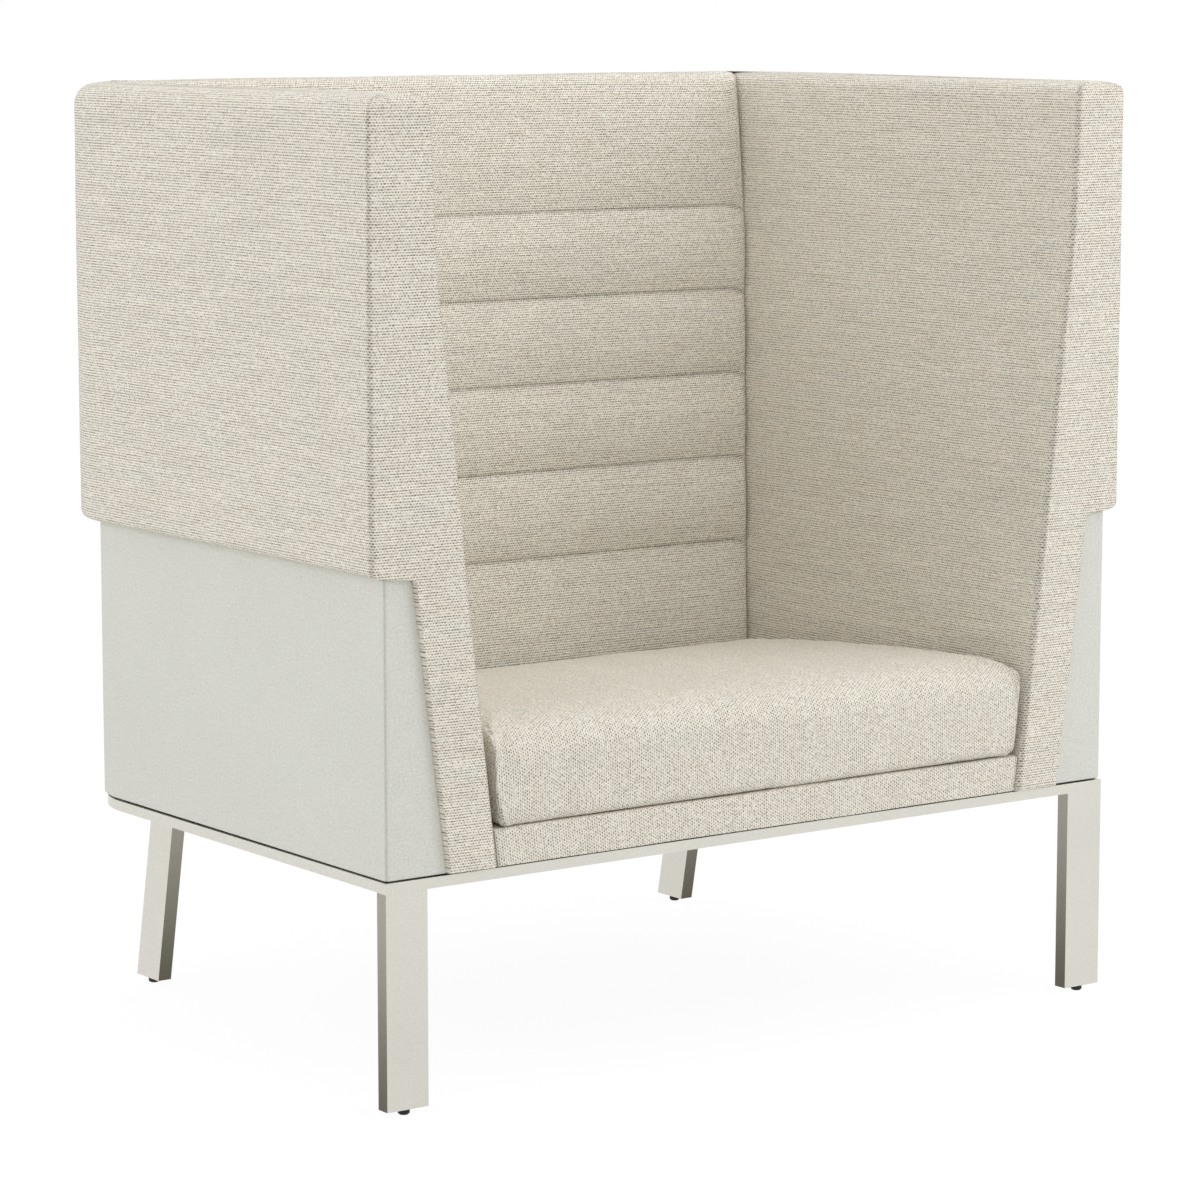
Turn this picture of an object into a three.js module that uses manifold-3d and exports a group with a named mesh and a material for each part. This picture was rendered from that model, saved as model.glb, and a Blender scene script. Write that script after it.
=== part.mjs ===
// An acoustic high back lounge chair: a channelled back, a loose seat cushion and tall padded
// wings on a flat steel frame with four legs and levelling feet. Millimetres, +Z up, +Y to the back.
import * as THREE from 'three';
import { mergeVertices } from 'three/addons/utils/BufferGeometryUtils.js';
import Module from 'manifold-3d';

const wasm = await Module();
wasm.setup();
const { Manifold, Mesh } = wasm;

// Clearances
const seatGap = 0.3;          // between pieces that touch on the real chair
const softGap = 0.6;          // around loose cushions and pads
const overrun = 5;            // how far a cutting tool runs past what it cuts
const mergeDistance = 0.0001; // points nearer than this are one point

// Upholstered body, outside
const wingWidth = 1200;
const wingFront = -6;
const wingBack = 800;
const bodyHeight = 940.2;     // from the body's underside to the top of the wings
const shellHeight = 369.2;    // from the body's underside to the lower edge of the wings
const wingCornerRadius = 135;
const wingTopRadius = 20;
const wingTopInnerRadius = 8;
const wingBottomRadius = 10;
const wingEdgeRadius = 6;
const panelThickness = 25;    // the outer panel of the back
const panelReturn = 6;        // how far a side runs straight on past its rear corner
const cornerSkin = 4;         // least stuff between the hidden inner corner and the rounded one

// Arms: their inner walls lean in below the kink
const armTopThickness = 87;
const armKinkThickness = 96;
const armFootThickness = 184;
const kinkDrop = 214;         // from the top of the wings down to the kink

// Pale lower shell, set back from the wings
const shellFrontStep = 7;
const shellStep = 21;
const shellCornerRadius = 124;
const shellFootWidth = 88;    // width of its front face at the frame
const shellTopWidth = 40;     // and under the wing
const shellEdgeRadius = 8;
const shellBendInset = 102;   // its hidden inner face cuts the rear corner from here
const shellBendShare = 0.87;  // and comes forward this much for each step outwards

// Steel frame
const frameStep = 20;         // how far its sides stand in from the wings
const frameBackStep = 25;
const railWidth = 60;
const railThickness = 13.5;
const frameCornerRadius = 132;
const sideRailReturn = 150;   // how far a side rail runs round the rear corner from its outer face
const bearerInset = 115;      // the bearers run front to back under the side panels
const crossBearerLead = 32;   // how far the cross bearer starts before the backrest
const crossBearerWidth = 100;

// Legs
const legBottom = 7.5;
const legHeight = 269.7;
const frontLegWidth = 60;
const frontLegThickness = 20;
const rearLegWidth = 58;
const rearLegThickness = 20;
const rearLegInset = 121;     // from the frame's side
const rearLegBackInset = 9;   // from the frame's back
const rearLegRake = 53.5;     // how far the foot lies behind the top

// Levelling feet
const footRadius = 7.5;
const footRim = 2;
const stemRadius = 4;
const stemLength = 26;
const footRecessDepth = 4;
const bushWall = 1.6;
const stemRoom = 2;           // free thread in the bush above the stem
const threadClearance = 0.4;

// Spacer strips between the steel and the upholstered body
const stripThickness = 2.2;
const stripInset = 6;

// Backrest
const backFootY = 572;        // its face where the body starts
const backRoom = 1.2;         // between its board and the outer panel at the top
const padThickness = 34;
const padEdgeRadius = 16;
const channelCount = 6;
const channelDepth = 9;
const firstSeamRise = 272.2;  // over the body's underside
const seamSpacing = 119.5;
const seamWidth = 3;
const channelSharpness = 3.2;

// Boards inside the upholstery
const boardThickness = 18;
const coreFootInset = 37;     // from the inner wall at its foot
const coreTopInset = 34;      // from the outside at its top
const coreFrontInset = 72;
const coreBackInset = 110;
const coreTopDrop = 38;
const backBoardThickness = 15;
const backBoardDrop = 19;
const ribThickness = 20;
const ribX = 260;
const ribTopDrop = 84;

// Seat
const seatRailHeight = 46.8;
const seatRailFront = 0;
const seatRailDepth = 48;
const seatRailPadding = 17.4;
const seatTimberLap = 22;     // how far the timber runs on under the deck
const deckThickness = 15;
const deckBackRoom = 6;       // before the backrest
const deckSeat = 1.5;         // height of the deck's rear edge over the body's underside
const dustCoverThickness = 1;
const dustCoverLap = 8;

// Seat cushion
const cushionFrontY = -16;
const cushionFrontHeight = 121;
const cushionBackHeight = 113;
const cushionCrown = 9;
const cushionCornerRadius = 26;
const cushionSideGap = 1.5;
const cushionEdgeInset = 24;
const cushionFootInset = 10;
// its edge in section: height as a share, and inset as a share of the foot's or the top edge's
const cushionFootShares = [[0, 1], [0.05, 0.33], [0.14, 0], [0.5, 0]];
const cushionEdgeShares = [[0.78, 0.08], [0.9, 0.33], [0.97, 0.67]];
const cushionCrownShares = [1, 0.9, 0.72, 0.5, 0.25];
const crownSharpness = 3;

// Fasteners
const boltRadius = 3;
const boltClearance = 0.4;
const boltHeadRadius = 5.5;
const boltHeadHeight = 4;
const insertWall = 1.6;
const insertLength = 12;
const insertRoom = 2;         // hole left above an insert
const boltShort = 1;          // how far a bolt ends before its insert does
const frontBoltX = 250;
const frontBoltY = 36;
const sideBoltY = 330;
const rearBoltX = 250;
const rearBoltShare = 0.57;   // across the thickness of the back board

// Heights and places that follow
const railBottom = legBottom + legHeight + seatGap;
const railTop = railBottom + railThickness;
const stripBottom = railTop + seatGap;
const bodyBottom = stripBottom + stripThickness + seatGap;
const wingHalf = wingWidth / 2;
const wingHeight = bodyBottom + bodyHeight;
const wingBottom = bodyBottom + shellHeight;
const wallKinkHeight = wingHeight - kinkDrop;
const wallTopX = wingHalf - armTopThickness;
const wallKinkX = wingHalf - armKinkThickness;
const wallFootX = wingHalf - armFootThickness;
const shellSideX = wingHalf - shellStep;
const shellFront = wingFront + shellFrontStep;
const shellBack = wingBack - shellStep;
const shellFootX = shellSideX - shellFootWidth;
const shellTopX = shellSideX - shellTopWidth;
const shellBendX = shellSideX - shellBendInset;
const frameHalf = wingHalf - frameStep;
const frameDepth = wingBack - frameBackStep;
const railInnerX = frameHalf - railWidth;
const bearerOuterX = frameHalf - bearerInset;
const bearerInnerX = bearerOuterX - railWidth;
const rearRailFront = frameDepth - railWidth;
const sideReturnX = frameHalf - sideRailReturn;
const wingReturnX = wingHalf - wingCornerRadius - panelReturn;
const shellReturnX = shellSideX - shellCornerRadius - panelReturn;
const crossBearerFront = backFootY - crossBearerLead;
const crossBearerBack = crossBearerFront + crossBearerWidth;
const rearLegOuterX = frameHalf - rearLegInset;
const rearLegTopBack = frameDepth - rearLegBackInset;
const backTopY = wingBack - panelThickness - backRoom - backBoardThickness - seatGap - padThickness;
const firstSeamHeight = bodyBottom + firstSeamRise;
const coreFootX = wallFootX + coreFootInset;
const coreTopX = wingHalf - coreTopInset;
const coreFront = wingFront + coreFrontInset;
const coreBack = wingBack - coreBackInset;
const coreHeight = wingHeight - coreTopDrop;
const backBoardHeight = wingHeight - backBoardDrop;
const ribHeight = wingHeight - ribTopDrop;
const seatRailTop = bodyBottom + seatRailHeight;
const seatTimberFront = seatRailFront + seatRailPadding + seatGap;
const seatTimberBack = seatRailFront + seatRailDepth + seatTimberLap;
const deckFront = seatRailFront + seatRailDepth + seatGap + seatGap;
const deckBack = backFootY - deckBackRoom;
const bushRadius = stemRadius + threadClearance + bushWall;
const insertRadius = boltRadius + boltClearance + insertWall;

// How finely round shapes are cut
const roundSegments = 24;
const cornerSegments = 8;
const edgeSegments = 3;

const share = (from, to, value) => (value - from) / (to - from);
const mix = (a, b, t) => a + (b - a) * t;

// Inner face of the arms at a height
function wallX(z) {
  if (z > wallKinkHeight) return mix(wallKinkX, wallTopX, share(wallKinkHeight, wingHeight, z));
  return mix(wallFootX, wallKinkX, share(bodyBottom, wallKinkHeight, z));
}

// Edge between the pale shell and the woven body at a height
const shellInnerX = (z) => mix(shellFootX, shellTopX, share(bodyBottom, wingBottom, z));

// Hidden inner face of the pale shell where it cuts the rear corner
const shellBendY = (x) => shellBack - panelThickness - (x - shellBendX) * shellBendShare;

// Plain face of the backrest at a height, without its channels
const backY = (z) => mix(backFootY, backTopY, share(bodyBottom, wingHeight, z));

// Top of the seat deck at a depth
function deckTop(y) {
  const rear = bodyBottom + deckSeat + deckThickness;
  return mix(seatRailTop, rear, share(deckFront, deckBack, y));
}

// The seat timber reaches up to the underside of the deck
const seatTimberHeight = deckTop(seatTimberBack) - deckThickness - seatGap - bodyBottom;

// Materials
function finish(color, roughness, metalness) {
  return new THREE.MeshStandardMaterial({ color, roughness, metalness });
}

const steel = finish(0xc9c6b8, 0.34, 1);
const woven = finish(0xd8d0c2, 0.92, 0);
const plain = finish(0xd9dcd4, 0.7, 0);
const plywood = finish(0xc8a878, 0.75, 0);
const timber = finish(0xbf9b6a, 0.8, 0);
const blackPlastic = finish(0x151515, 0.6, 0);
const rubber = finish(0x1c1c1c, 0.85, 0);
const zinc = finish(0xb9bcc0, 0.4, 1);
const lining = finish(0x22221f, 0.95, 0);

const chair = new THREE.Group();

// Closed solids from three.js geometry and back
function solidOf(geometry) {
  const bare = geometry.index ? geometry.toNonIndexed() : geometry.clone();
  for (const key of Object.keys(bare.attributes)) if (key !== 'position') bare.deleteAttribute(key);
  const merged = mergeVertices(bare, mergeDistance);
  const vertProperties = Float32Array.from(merged.attributes.position.array);
  const triVerts = Uint32Array.from(merged.index.array);
  return new Manifold(new Mesh({ numProp: 3, vertProperties, triVerts }));
}

function geometryOf(solid) {
  const mesh = solid.getMesh();
  const geometry = new THREE.BufferGeometry();
  const positions = new Float32Array(mesh.numVert * 3);
  for (let i = 0; i < mesh.numVert; i += 1) {
    for (let k = 0; k < 3; k += 1) positions[3 * i + k] = mesh.vertProperties[mesh.numProp * i + k];
  }
  geometry.setAttribute('position', new THREE.BufferAttribute(positions, 3));
  geometry.setIndex(Array.from(mesh.triVerts));
  const faceted = geometry.toNonIndexed();
  faceted.computeVertexNormals();
  return faceted;
}

function add(name, shape, material, x = 0, y = 0, z = 0) {
  const geometry = shape instanceof THREE.BufferGeometry ? shape : geometryOf(shape);
  const mesh = new THREE.Mesh(geometry, material);
  mesh.name = name;
  mesh.position.set(x, y, z);
  chair.add(mesh);
}

const mirrored = (solid) => solid.mirror([1, 0, 0]);

function addPair(name, solid, material) {
  add(`${name}_right`, solid, material);
  add(`${name}_left`, mirrored(solid), material);
}

function block(x0, x1, y0, y1, z0, z1) {
  const geometry = new THREE.BoxGeometry(x1 - x0, y1 - y0, z1 - z0);
  geometry.translate((x0 + x1) / 2, (y0 + y1) / 2, (z0 + z1) / 2);
  return solidOf(geometry);
}

// A disc or tube on the Z axis from z0 to z1
function rod(radius, z0, z1, x = 0, y = 0) {
  const geometry = new THREE.CylinderGeometry(radius, radius, z1 - z0, roundSegments);
  geometry.rotateX(Math.PI / 2);
  geometry.translate(x, y, (z0 + z1) / 2);
  return solidOf(geometry);
}

// An outline in plan, pushed up from z0 to z1
function plate(shape, z0, z1) {
  const geometry = new THREE.ExtrudeGeometry(shape, {
    depth: z1 - z0,
    bevelEnabled: false,
    curveSegments: cornerSegments,
  });
  geometry.translate(0, 0, z0);
  return solidOf(geometry);
}

// A closed skin over a stack of rings with equal point counts, each counter-clockwise from above
function loft(rings) {
  const count = rings[0].length;
  const positions = rings.flat().flat();
  const index = [];
  for (let k = 0; k + 1 < rings.length; k += 1) {
    for (let i = 0; i < count; i += 1) {
      const next = (i + 1) % count;
      const a = k * count + i;
      const b = k * count + next;
      index.push(a, b, b + count, a, b + count, a + count);
    }
  }
  const flat = (ring) => ring.map(([x, y]) => new THREE.Vector2(x, y));
  const last = (rings.length - 1) * count;
  for (const [a, b, c] of THREE.ShapeUtils.triangulateShape(flat(rings[0]), [])) index.push(a, c, b);
  for (const [a, b, c] of THREE.ShapeUtils.triangulateShape(flat(rings[rings.length - 1]), [])) {
    index.push(last + a, last + b, last + c);
  }
  const geometry = new THREE.BufferGeometry();
  geometry.setAttribute('position', new THREE.Float32BufferAttribute(positions, 3));
  geometry.setIndex(index);
  return solidOf(geometry);
}

// Corners [x, y, radius, segments] joined into one outline at a height, counter-clockwise
function outline(corners, z) {
  const points = [];
  corners.forEach(([x, y, radius, segments], i) => {
    const before = corners[(i + corners.length - 1) % corners.length];
    const after = corners[(i + 1) % corners.length];
    if (!radius) {
      points.push([x, y, z]);
      return;
    }
    const corner = new THREE.Vector2(x, y);
    const inward = new THREE.Vector2(before[0], before[1]).sub(corner).normalize();
    const outward = new THREE.Vector2(after[0], after[1]).sub(corner).normalize();
    const half = Math.acos(inward.dot(outward)) / 2;
    const reach = radius / Math.tan(half);
    const start = corner.clone().addScaledVector(inward, reach);
    const middle = inward.clone().add(outward).normalize();
    const centre = corner.clone().addScaledVector(middle, radius / Math.sin(half));
    const arm = start.sub(centre);
    const sweep = Math.PI - 2 * half;
    for (let s = 0; s <= segments; s += 1) {
      const turned = arm.clone().rotateAround(new THREE.Vector2(), (sweep * s) / segments);
      points.push([centre.x + turned.x, centre.y + turned.y, z]);
    }
  });
  return points;
}

// Steps of a rounded edge: how far it stands in, and how far below the full height it lies
function roundover(radius) {
  const steps = [];
  for (let s = 0; s <= edgeSegments; s += 1) {
    const angle = (Math.PI / 2) * (s / edgeSegments);
    steps.push({ inset: radius * (1 - Math.cos(angle)), drop: radius * (1 - Math.sin(angle)) });
  }
  return steps;
}

// Bolt holes and where the bolts stand
const coreX = (z) => mix(coreFootX, coreTopX, share(bodyBottom, coreHeight, z));
const backBoardY = backFootY + padThickness + seatGap + backBoardThickness * rearBoltShare;
const boltPlaces = [
  ['front_right', frontBoltX, frontBoltY],
  ['front_left', -frontBoltX, frontBoltY],
  ['side_right', coreFootX, sideBoltY],
  ['side_left', -coreFootX, sideBoltY],
  ['rear_right', rearBoltX, backBoardY],
  ['rear_left', -rearBoltX, backBoardY],
];

// The part of a solid that its bolts and inserts leave
function drilled(solid) {
  let rest = solid;
  for (const [, x, y] of boltPlaces) {
    rest = rest.subtract(rod(boltRadius + boltClearance, railBottom - overrun, bodyBottom, x, y));
    const holeTop = bodyBottom + insertLength + insertRoom;
    rest = rest.subtract(rod(insertRadius + seatGap, bodyBottom - seatGap, holeTop, x, y));
  }
  return rest;
}

// Steel frame: rails laid flat, butted and welded into one base
function sideRail() {
  const shape = new THREE.Shape();
  shape.moveTo(railInnerX, railWidth + seatGap);
  shape.lineTo(frameHalf, railWidth + seatGap);
  shape.lineTo(frameHalf, frameDepth - frameCornerRadius);
  const centreX = frameHalf - frameCornerRadius;
  const centreY = frameDepth - frameCornerRadius;
  shape.absarc(centreX, centreY, frameCornerRadius, 0, Math.PI / 2, false);
  shape.lineTo(sideReturnX, frameDepth);
  shape.lineTo(sideReturnX, rearRailFront);
  shape.absarc(centreX, centreY, frameCornerRadius - railWidth, Math.PI / 2, 0, true);
  return drilled(plate(shape, railBottom, railTop));
}

function buildFrame() {
  add('front_rail', drilled(block(-frameHalf, frameHalf, 0, railWidth, railBottom, railTop)), steel);
  addPair('side_rail', sideRail(), steel);
  const rearHalf = sideReturnX - seatGap;
  add('rear_rail', block(-rearHalf, rearHalf, rearRailFront, frameDepth, railBottom, railTop), steel);
  // the bearers stop where their outer edge meets the inside of the rounded corner
  const cornerX = frameHalf - frameCornerRadius;
  const reach = Math.sqrt((frameCornerRadius - railWidth) ** 2 - (bearerOuterX - cornerX) ** 2);
  const bearerEnd = frameDepth - frameCornerRadius + reach - seatGap;
  const bearer = block(bearerInnerX, bearerOuterX, railWidth + seatGap, bearerEnd, railBottom, railTop);
  addPair('bearer', drilled(bearer), steel);
  const crossHalf = bearerInnerX - seatGap;
  const cross = block(-crossHalf, crossHalf, crossBearerFront, crossBearerBack, railBottom, railTop);
  add('cross_bearer', drilled(cross), steel);
}

// Legs stand under the rails; each foot has a threaded bush for its levelling screw
const rearLegX = rearLegOuterX - rearLegThickness / 2;
const rearFootY = rearLegTopBack - rearLegWidth / 2 + rearLegRake;
const footPlaces = [
  ['front_right', frameHalf - frontLegWidth / 2, frontLegThickness / 2],
  ['front_left', -(frameHalf - frontLegWidth / 2), frontLegThickness / 2],
  ['rear_right', rearLegX, rearFootY],
  ['rear_left', -rearLegX, rearFootY],
];

// The stem stands in a recess of its foot and runs up into the bush
const footTop = legBottom - seatGap;
const stemBottom = footTop - footRecessDepth + seatGap;
const bushTop = stemBottom + stemLength + stemRoom;

function bushHole(x, y) {
  return rod(bushRadius + seatGap, legBottom - overrun, bushTop + seatGap, x, y);
}

function frontLeg() {
  const top = legBottom + legHeight;
  const leg = block(frameHalf - frontLegWidth, frameHalf, 0, frontLegThickness, legBottom, top);
  return leg.subtract(bushHole(frameHalf - frontLegWidth / 2, frontLegThickness / 2));
}

function rearLeg() {
  const side = (back, z) => outline([
    [rearLegOuterX - rearLegThickness, back - rearLegWidth, 0],
    [rearLegOuterX, back - rearLegWidth, 0],
    [rearLegOuterX, back, 0],
    [rearLegOuterX - rearLegThickness, back, 0],
  ], z);
  const foot = side(rearLegTopBack + rearLegRake, legBottom);
  const leg = loft([foot, side(rearLegTopBack, legBottom + legHeight)]);
  return leg.subtract(bushHole(rearLegX, rearFootY));
}

function lathe(points) {
  const geometry = new THREE.LatheGeometry(points.map(([r, z]) => new THREE.Vector2(r, z)), roundSegments);
  geometry.rotateX(Math.PI / 2);
  return solidOf(geometry);
}

function buildLegs() {
  addPair('front_leg', frontLeg(), steel);
  addPair('rear_leg', rearLeg(), steel);
  const recessRadius = stemRadius + threadClearance;
  const foot = lathe([
    [0, 0],
    [footRadius - footRim, 0],
    [footRadius, footRim],
    [footRadius, footTop],
    [recessRadius, footTop],
    [recessRadius, footTop - footRecessDepth],
    [0, footTop - footRecessDepth],
  ]);
  const stem = rod(stemRadius, stemBottom, stemBottom + stemLength);
  const bush = rod(bushRadius, legBottom, bushTop)
    .subtract(rod(recessRadius, legBottom - overrun, bushTop + overrun));
  for (const [place, x, y] of footPlaces) {
    add(`leg_bush_${place}`, geometryOf(bush), zinc, x, y);
    add(`foot_stem_${place}`, geometryOf(stem), zinc, x, y);
    add(`foot_pad_${place}`, geometryOf(foot), blackPlastic, x, y);
  }
}

// Rubber strips: they lie on the steel, set back, and show as the dark line under the body
function buildStrips() {
  const z0 = stripBottom;
  const z1 = stripBottom + stripThickness;
  const low = stripInset;
  const high = railWidth - stripInset;
  const strip = (x0, x1, y0, y1) => drilled(block(x0, x1, y0, y1, z0, z1));
  add('strip_front', strip(-frameHalf + low, frameHalf - low, low, high), rubber);
  const sideBack = frameDepth - frameCornerRadius;
  addPair('strip_side', strip(railInnerX + low, frameHalf - low, railWidth, sideBack), rubber);
  add('strip_rear', strip(-sideReturnX, sideReturnX, rearRailFront + low, frameDepth - low), rubber);
  addPair('strip_bearer', strip(bearerInnerX + low, bearerOuterX - low, railWidth, rearRailFront), rubber);
  const cross = strip(-bearerInnerX, bearerInnerX, crossBearerFront + low, crossBearerBack - low);
  add('strip_cross', cross, rubber);
}

// Woven side: one padded body from the frame to the top, with a slot for its board
function sideBodyRing(z, inset, innerInset) {
  const innerX = wallX(z) + innerInset;
  // the hidden inner corner stays inside the rounded one, where that is drawn in at the top
  const across = Math.max(innerX - (wingHalf - wingCornerRadius), 0);
  const roundedY = wingBack - wingCornerRadius + Math.sqrt((wingCornerRadius - inset) ** 2 - across ** 2);
  return outline([
    [innerX, wingFront + inset, wingEdgeRadius, edgeSegments],
    [wingHalf - inset, wingFront + inset, wingEdgeRadius, edgeSegments],
    [wingHalf - inset, wingBack - inset, wingCornerRadius - inset, cornerSegments],
    [wingReturnX, wingBack - inset, 0],
    [wingReturnX, wingBack - panelThickness, 0],
    [innerX, Math.min(wingBack - panelThickness, roundedY - cornerSkin), 0],
  ], z);
}

function sideCore(clearance) {
  const ring = (z) => outline([
    [coreX(z) - boardThickness / 2 - clearance, coreFront - clearance, 0],
    [coreX(z) + boardThickness / 2 + clearance, coreFront - clearance, 0],
    [coreX(z) + boardThickness / 2 + clearance, coreBack + clearance, 0],
    [coreX(z) - boardThickness / 2 - clearance, coreBack + clearance, 0],
  ], z);
  const foot = clearance ? bodyBottom - overrun : bodyBottom;
  return loft([ring(foot), ring(coreHeight + clearance)]);
}

function sideBody() {
  const rings = [sideBodyRing(bodyBottom, wingBottomRadius, 0)];
  for (const { inset, drop } of roundover(wingBottomRadius).reverse()) {
    rings.push(sideBodyRing(wingBottom + drop, inset, 0));
  }
  rings.push(sideBodyRing(wallKinkHeight, 0, 0));
  const innerShare = wingTopInnerRadius / wingTopRadius;
  for (const { inset, drop } of roundover(wingTopRadius)) {
    rings.push(sideBodyRing(wingHeight - drop, inset, inset * innerShare));
  }
  // the room that the pale shell and its hidden back take under the wing
  const roomX = (z) => shellInnerX(z) - seatGap;
  const room = (z) => outline([
    [roomX(z), wingFront - overrun, 0],
    [wingHalf + overrun, wingFront - overrun, 0],
    [wingHalf + overrun, wingBack + overrun, 0],
    [wallX(z) - overrun, wingBack + overrun, 0],
    [wallX(z) - overrun, shellBack - panelThickness - seatGap, 0],
    [shellBendX - softGap, shellBack - panelThickness - seatGap, 0],
    [roomX(z), shellBendY(roomX(z)) - seatGap - softGap * shellBendShare, 0],
  ], z);
  return loft(rings)
    .subtract(loft([room(bodyBottom - overrun), room(wingBottom)]))
    .subtract(sideCore(seatGap));
}

// Pale lower shell: a wedge under each wing that turns the rear corner, and a plain back
function shellSideRing(z, inset, topInset) {
  const innerX = shellInnerX(z) + topInset;
  return outline([
    [innerX, shellFront + inset, 0],
    [shellSideX - inset, shellFront + inset, wingEdgeRadius, edgeSegments],
    [shellSideX - inset, shellBack - inset, shellCornerRadius - inset, cornerSegments],
    [shellReturnX, shellBack - inset, 0],
    [shellReturnX, shellBack - panelThickness, 0],
    [shellBendX, shellBack - panelThickness, 0],
    [innerX, shellBendY(innerX), 0],
  ], z);
}

function shellSide() {
  const rings = [];
  for (const { inset, drop } of roundover(shellEdgeRadius).reverse()) {
    rings.push(shellSideRing(bodyBottom + drop, inset, 0));
  }
  const top = wingBottom - seatGap;
  for (const { inset, drop } of roundover(shellEdgeRadius)) {
    rings.push(shellSideRing(top - drop, 0, inset));
  }
  return loft(rings);
}

// A slab across the back from z0 to z1, its outer face at y, rounded over above and below
function backSlab(half, y, z0, z1, footRadius, topRadius) {
  const ring = (z, inset) => outline([
    [-half, y - panelThickness, 0],
    [half, y - panelThickness, 0],
    [half, y - inset, 0],
    [-half, y - inset, 0],
  ], z);
  const rings = [];
  for (const { inset, drop } of roundover(footRadius).reverse()) rings.push(ring(z0 + drop, inset));
  for (const { inset, drop } of roundover(topRadius)) rings.push(ring(z1 - drop, inset));
  return loft(rings);
}

function buildBody() {
  addPair('side_panel', sideBody(), woven);
  addPair('side_core', drilled(sideCore(0)), plywood);
  addPair('lower_shell', shellSide(), plain);
  const wingBackHalf = wingReturnX - seatGap;
  const upper = backSlab(wingBackHalf, wingBack, wingBottom, wingHeight, wingBottomRadius, wingTopRadius);
  add('back_panel', upper, woven);
  const shellTop = wingBottom - seatGap;
  const lower = backSlab(shellReturnX - seatGap, shellBack, bodyBottom, shellTop, shellEdgeRadius, seatGap);
  add('lower_shell_back', lower, plain);
}

// Channelled backrest pad: full between its seams, drawn in along them
const seamHeights = Array.from({ length: channelCount - 1 }, (_, i) => firstSeamHeight + i * seamSpacing);

function channelRelief(z) {
  const edges = [bodyBottom, ...seamHeights, wingHeight + wingTopRadius];
  const above = edges.findIndex((edge) => edge > z);
  const last = above < 0 ? edges.length - 1 : Math.max(above, 1);
  const across = Math.abs(2 * share(edges[last - 1], edges[last], z) - 1);
  return channelDepth * across ** channelSharpness;
}

function padRing(z, topInset) {
  const half = wallX(z) - softGap;
  const face = backY(z) + channelRelief(z) - channelDepth / 2 + topInset;
  const rear = backY(z) + padThickness;
  return outline([
    [-half, face, padEdgeRadius, edgeSegments],
    [half, face, padEdgeRadius, edgeSegments],
    [half, rear, 0],
    [-half, rear, 0],
  ], z);
}

function backrestPad() {
  const levels = [bodyBottom];
  const channelShares = [0.12, 0.35, 0.65, 0.88];
  const edges = [bodyBottom, ...seamHeights, wingHeight - wingTopInnerRadius];
  for (let i = 0; i + 1 < edges.length; i += 1) {
    if (i > 0) levels.push(edges[i] - seamWidth, edges[i], edges[i] + seamWidth);
    for (const part of channelShares) levels.push(mix(edges[i], edges[i + 1], part));
  }
  levels.sort((a, b) => a - b);
  const rings = levels.map((z) => padRing(z, 0));
  for (const { inset, drop } of roundover(wingTopInnerRadius)) {
    rings.push(padRing(wingHeight - drop, inset));
  }
  return loft(rings);
}

// Raked plywood behind the pad, and two ribs that carry the outer back on it
function backBoard() {
  const ring = (z) => outline([
    [-(wallX(z) - softGap), backY(z) + padThickness + seatGap, 0],
    [wallX(z) - softGap, backY(z) + padThickness + seatGap, 0],
    [wallX(z) - softGap, backY(z) + padThickness + seatGap + backBoardThickness, 0],
    [-(wallX(z) - softGap), backY(z) + padThickness + seatGap + backBoardThickness, 0],
  ], z);
  return drilled(loft([ring(bodyBottom), ring(wallKinkHeight), ring(backBoardHeight)]));
}

function backRib() {
  const front = (z) => backY(z) + padThickness + seatGap + backBoardThickness + seatGap;
  const ring = (z, rear) => outline([
    [ribX - ribThickness / 2, front(z), 0],
    [ribX + ribThickness / 2, front(z), 0],
    [ribX + ribThickness / 2, rear, 0],
    [ribX - ribThickness / 2, rear, 0],
  ], z);
  const lowerRear = shellBack - panelThickness - seatGap;
  const upperRear = wingBack - panelThickness - seatGap;
  return loft([
    ring(bodyBottom, lowerRear),
    ring(wingBottom - seatGap, lowerRear),
    ring(wingBottom + wingBottomRadius, upperRear),
    ring(ribHeight, upperRear),
  ]);
}

function buildBack() {
  add('backrest_pad', backrestPad(), woven);
  add('back_board', backBoard(), plywood);
  addPair('back_rib', backRib(), plywood);
}

// Seat: a covered front rail on a timber, a sloping plywood deck and the loose cushion
function seatRailCover() {
  const half = wallFootX - softGap;
  const back = seatRailFront + seatRailDepth;
  const cover = block(-half, half, seatRailFront, back, bodyBottom, seatRailTop);
  const roomTop = bodyBottom + seatTimberHeight + seatGap;
  const roomFront = seatTimberFront - seatGap;
  const room = block(-wingHalf, wingHalf, roomFront, wingBack, bodyBottom - overrun, roomTop);
  return cover.subtract(room);
}

function seatDeck() {
  const half = wallFootX - softGap;
  const rake = [deckFront, deckBack];
  const rings = [0, 1].map((upper) => [
    [-half, rake[0], deckTop(rake[0]) - deckThickness * (1 - upper)],
    [half, rake[0], deckTop(rake[0]) - deckThickness * (1 - upper)],
    [half, rake[1], deckTop(rake[1]) - deckThickness * (1 - upper)],
    [-half, rake[1], deckTop(rake[1]) - deckThickness * (1 - upper)],
  ]);
  return loft(rings);
}

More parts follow.
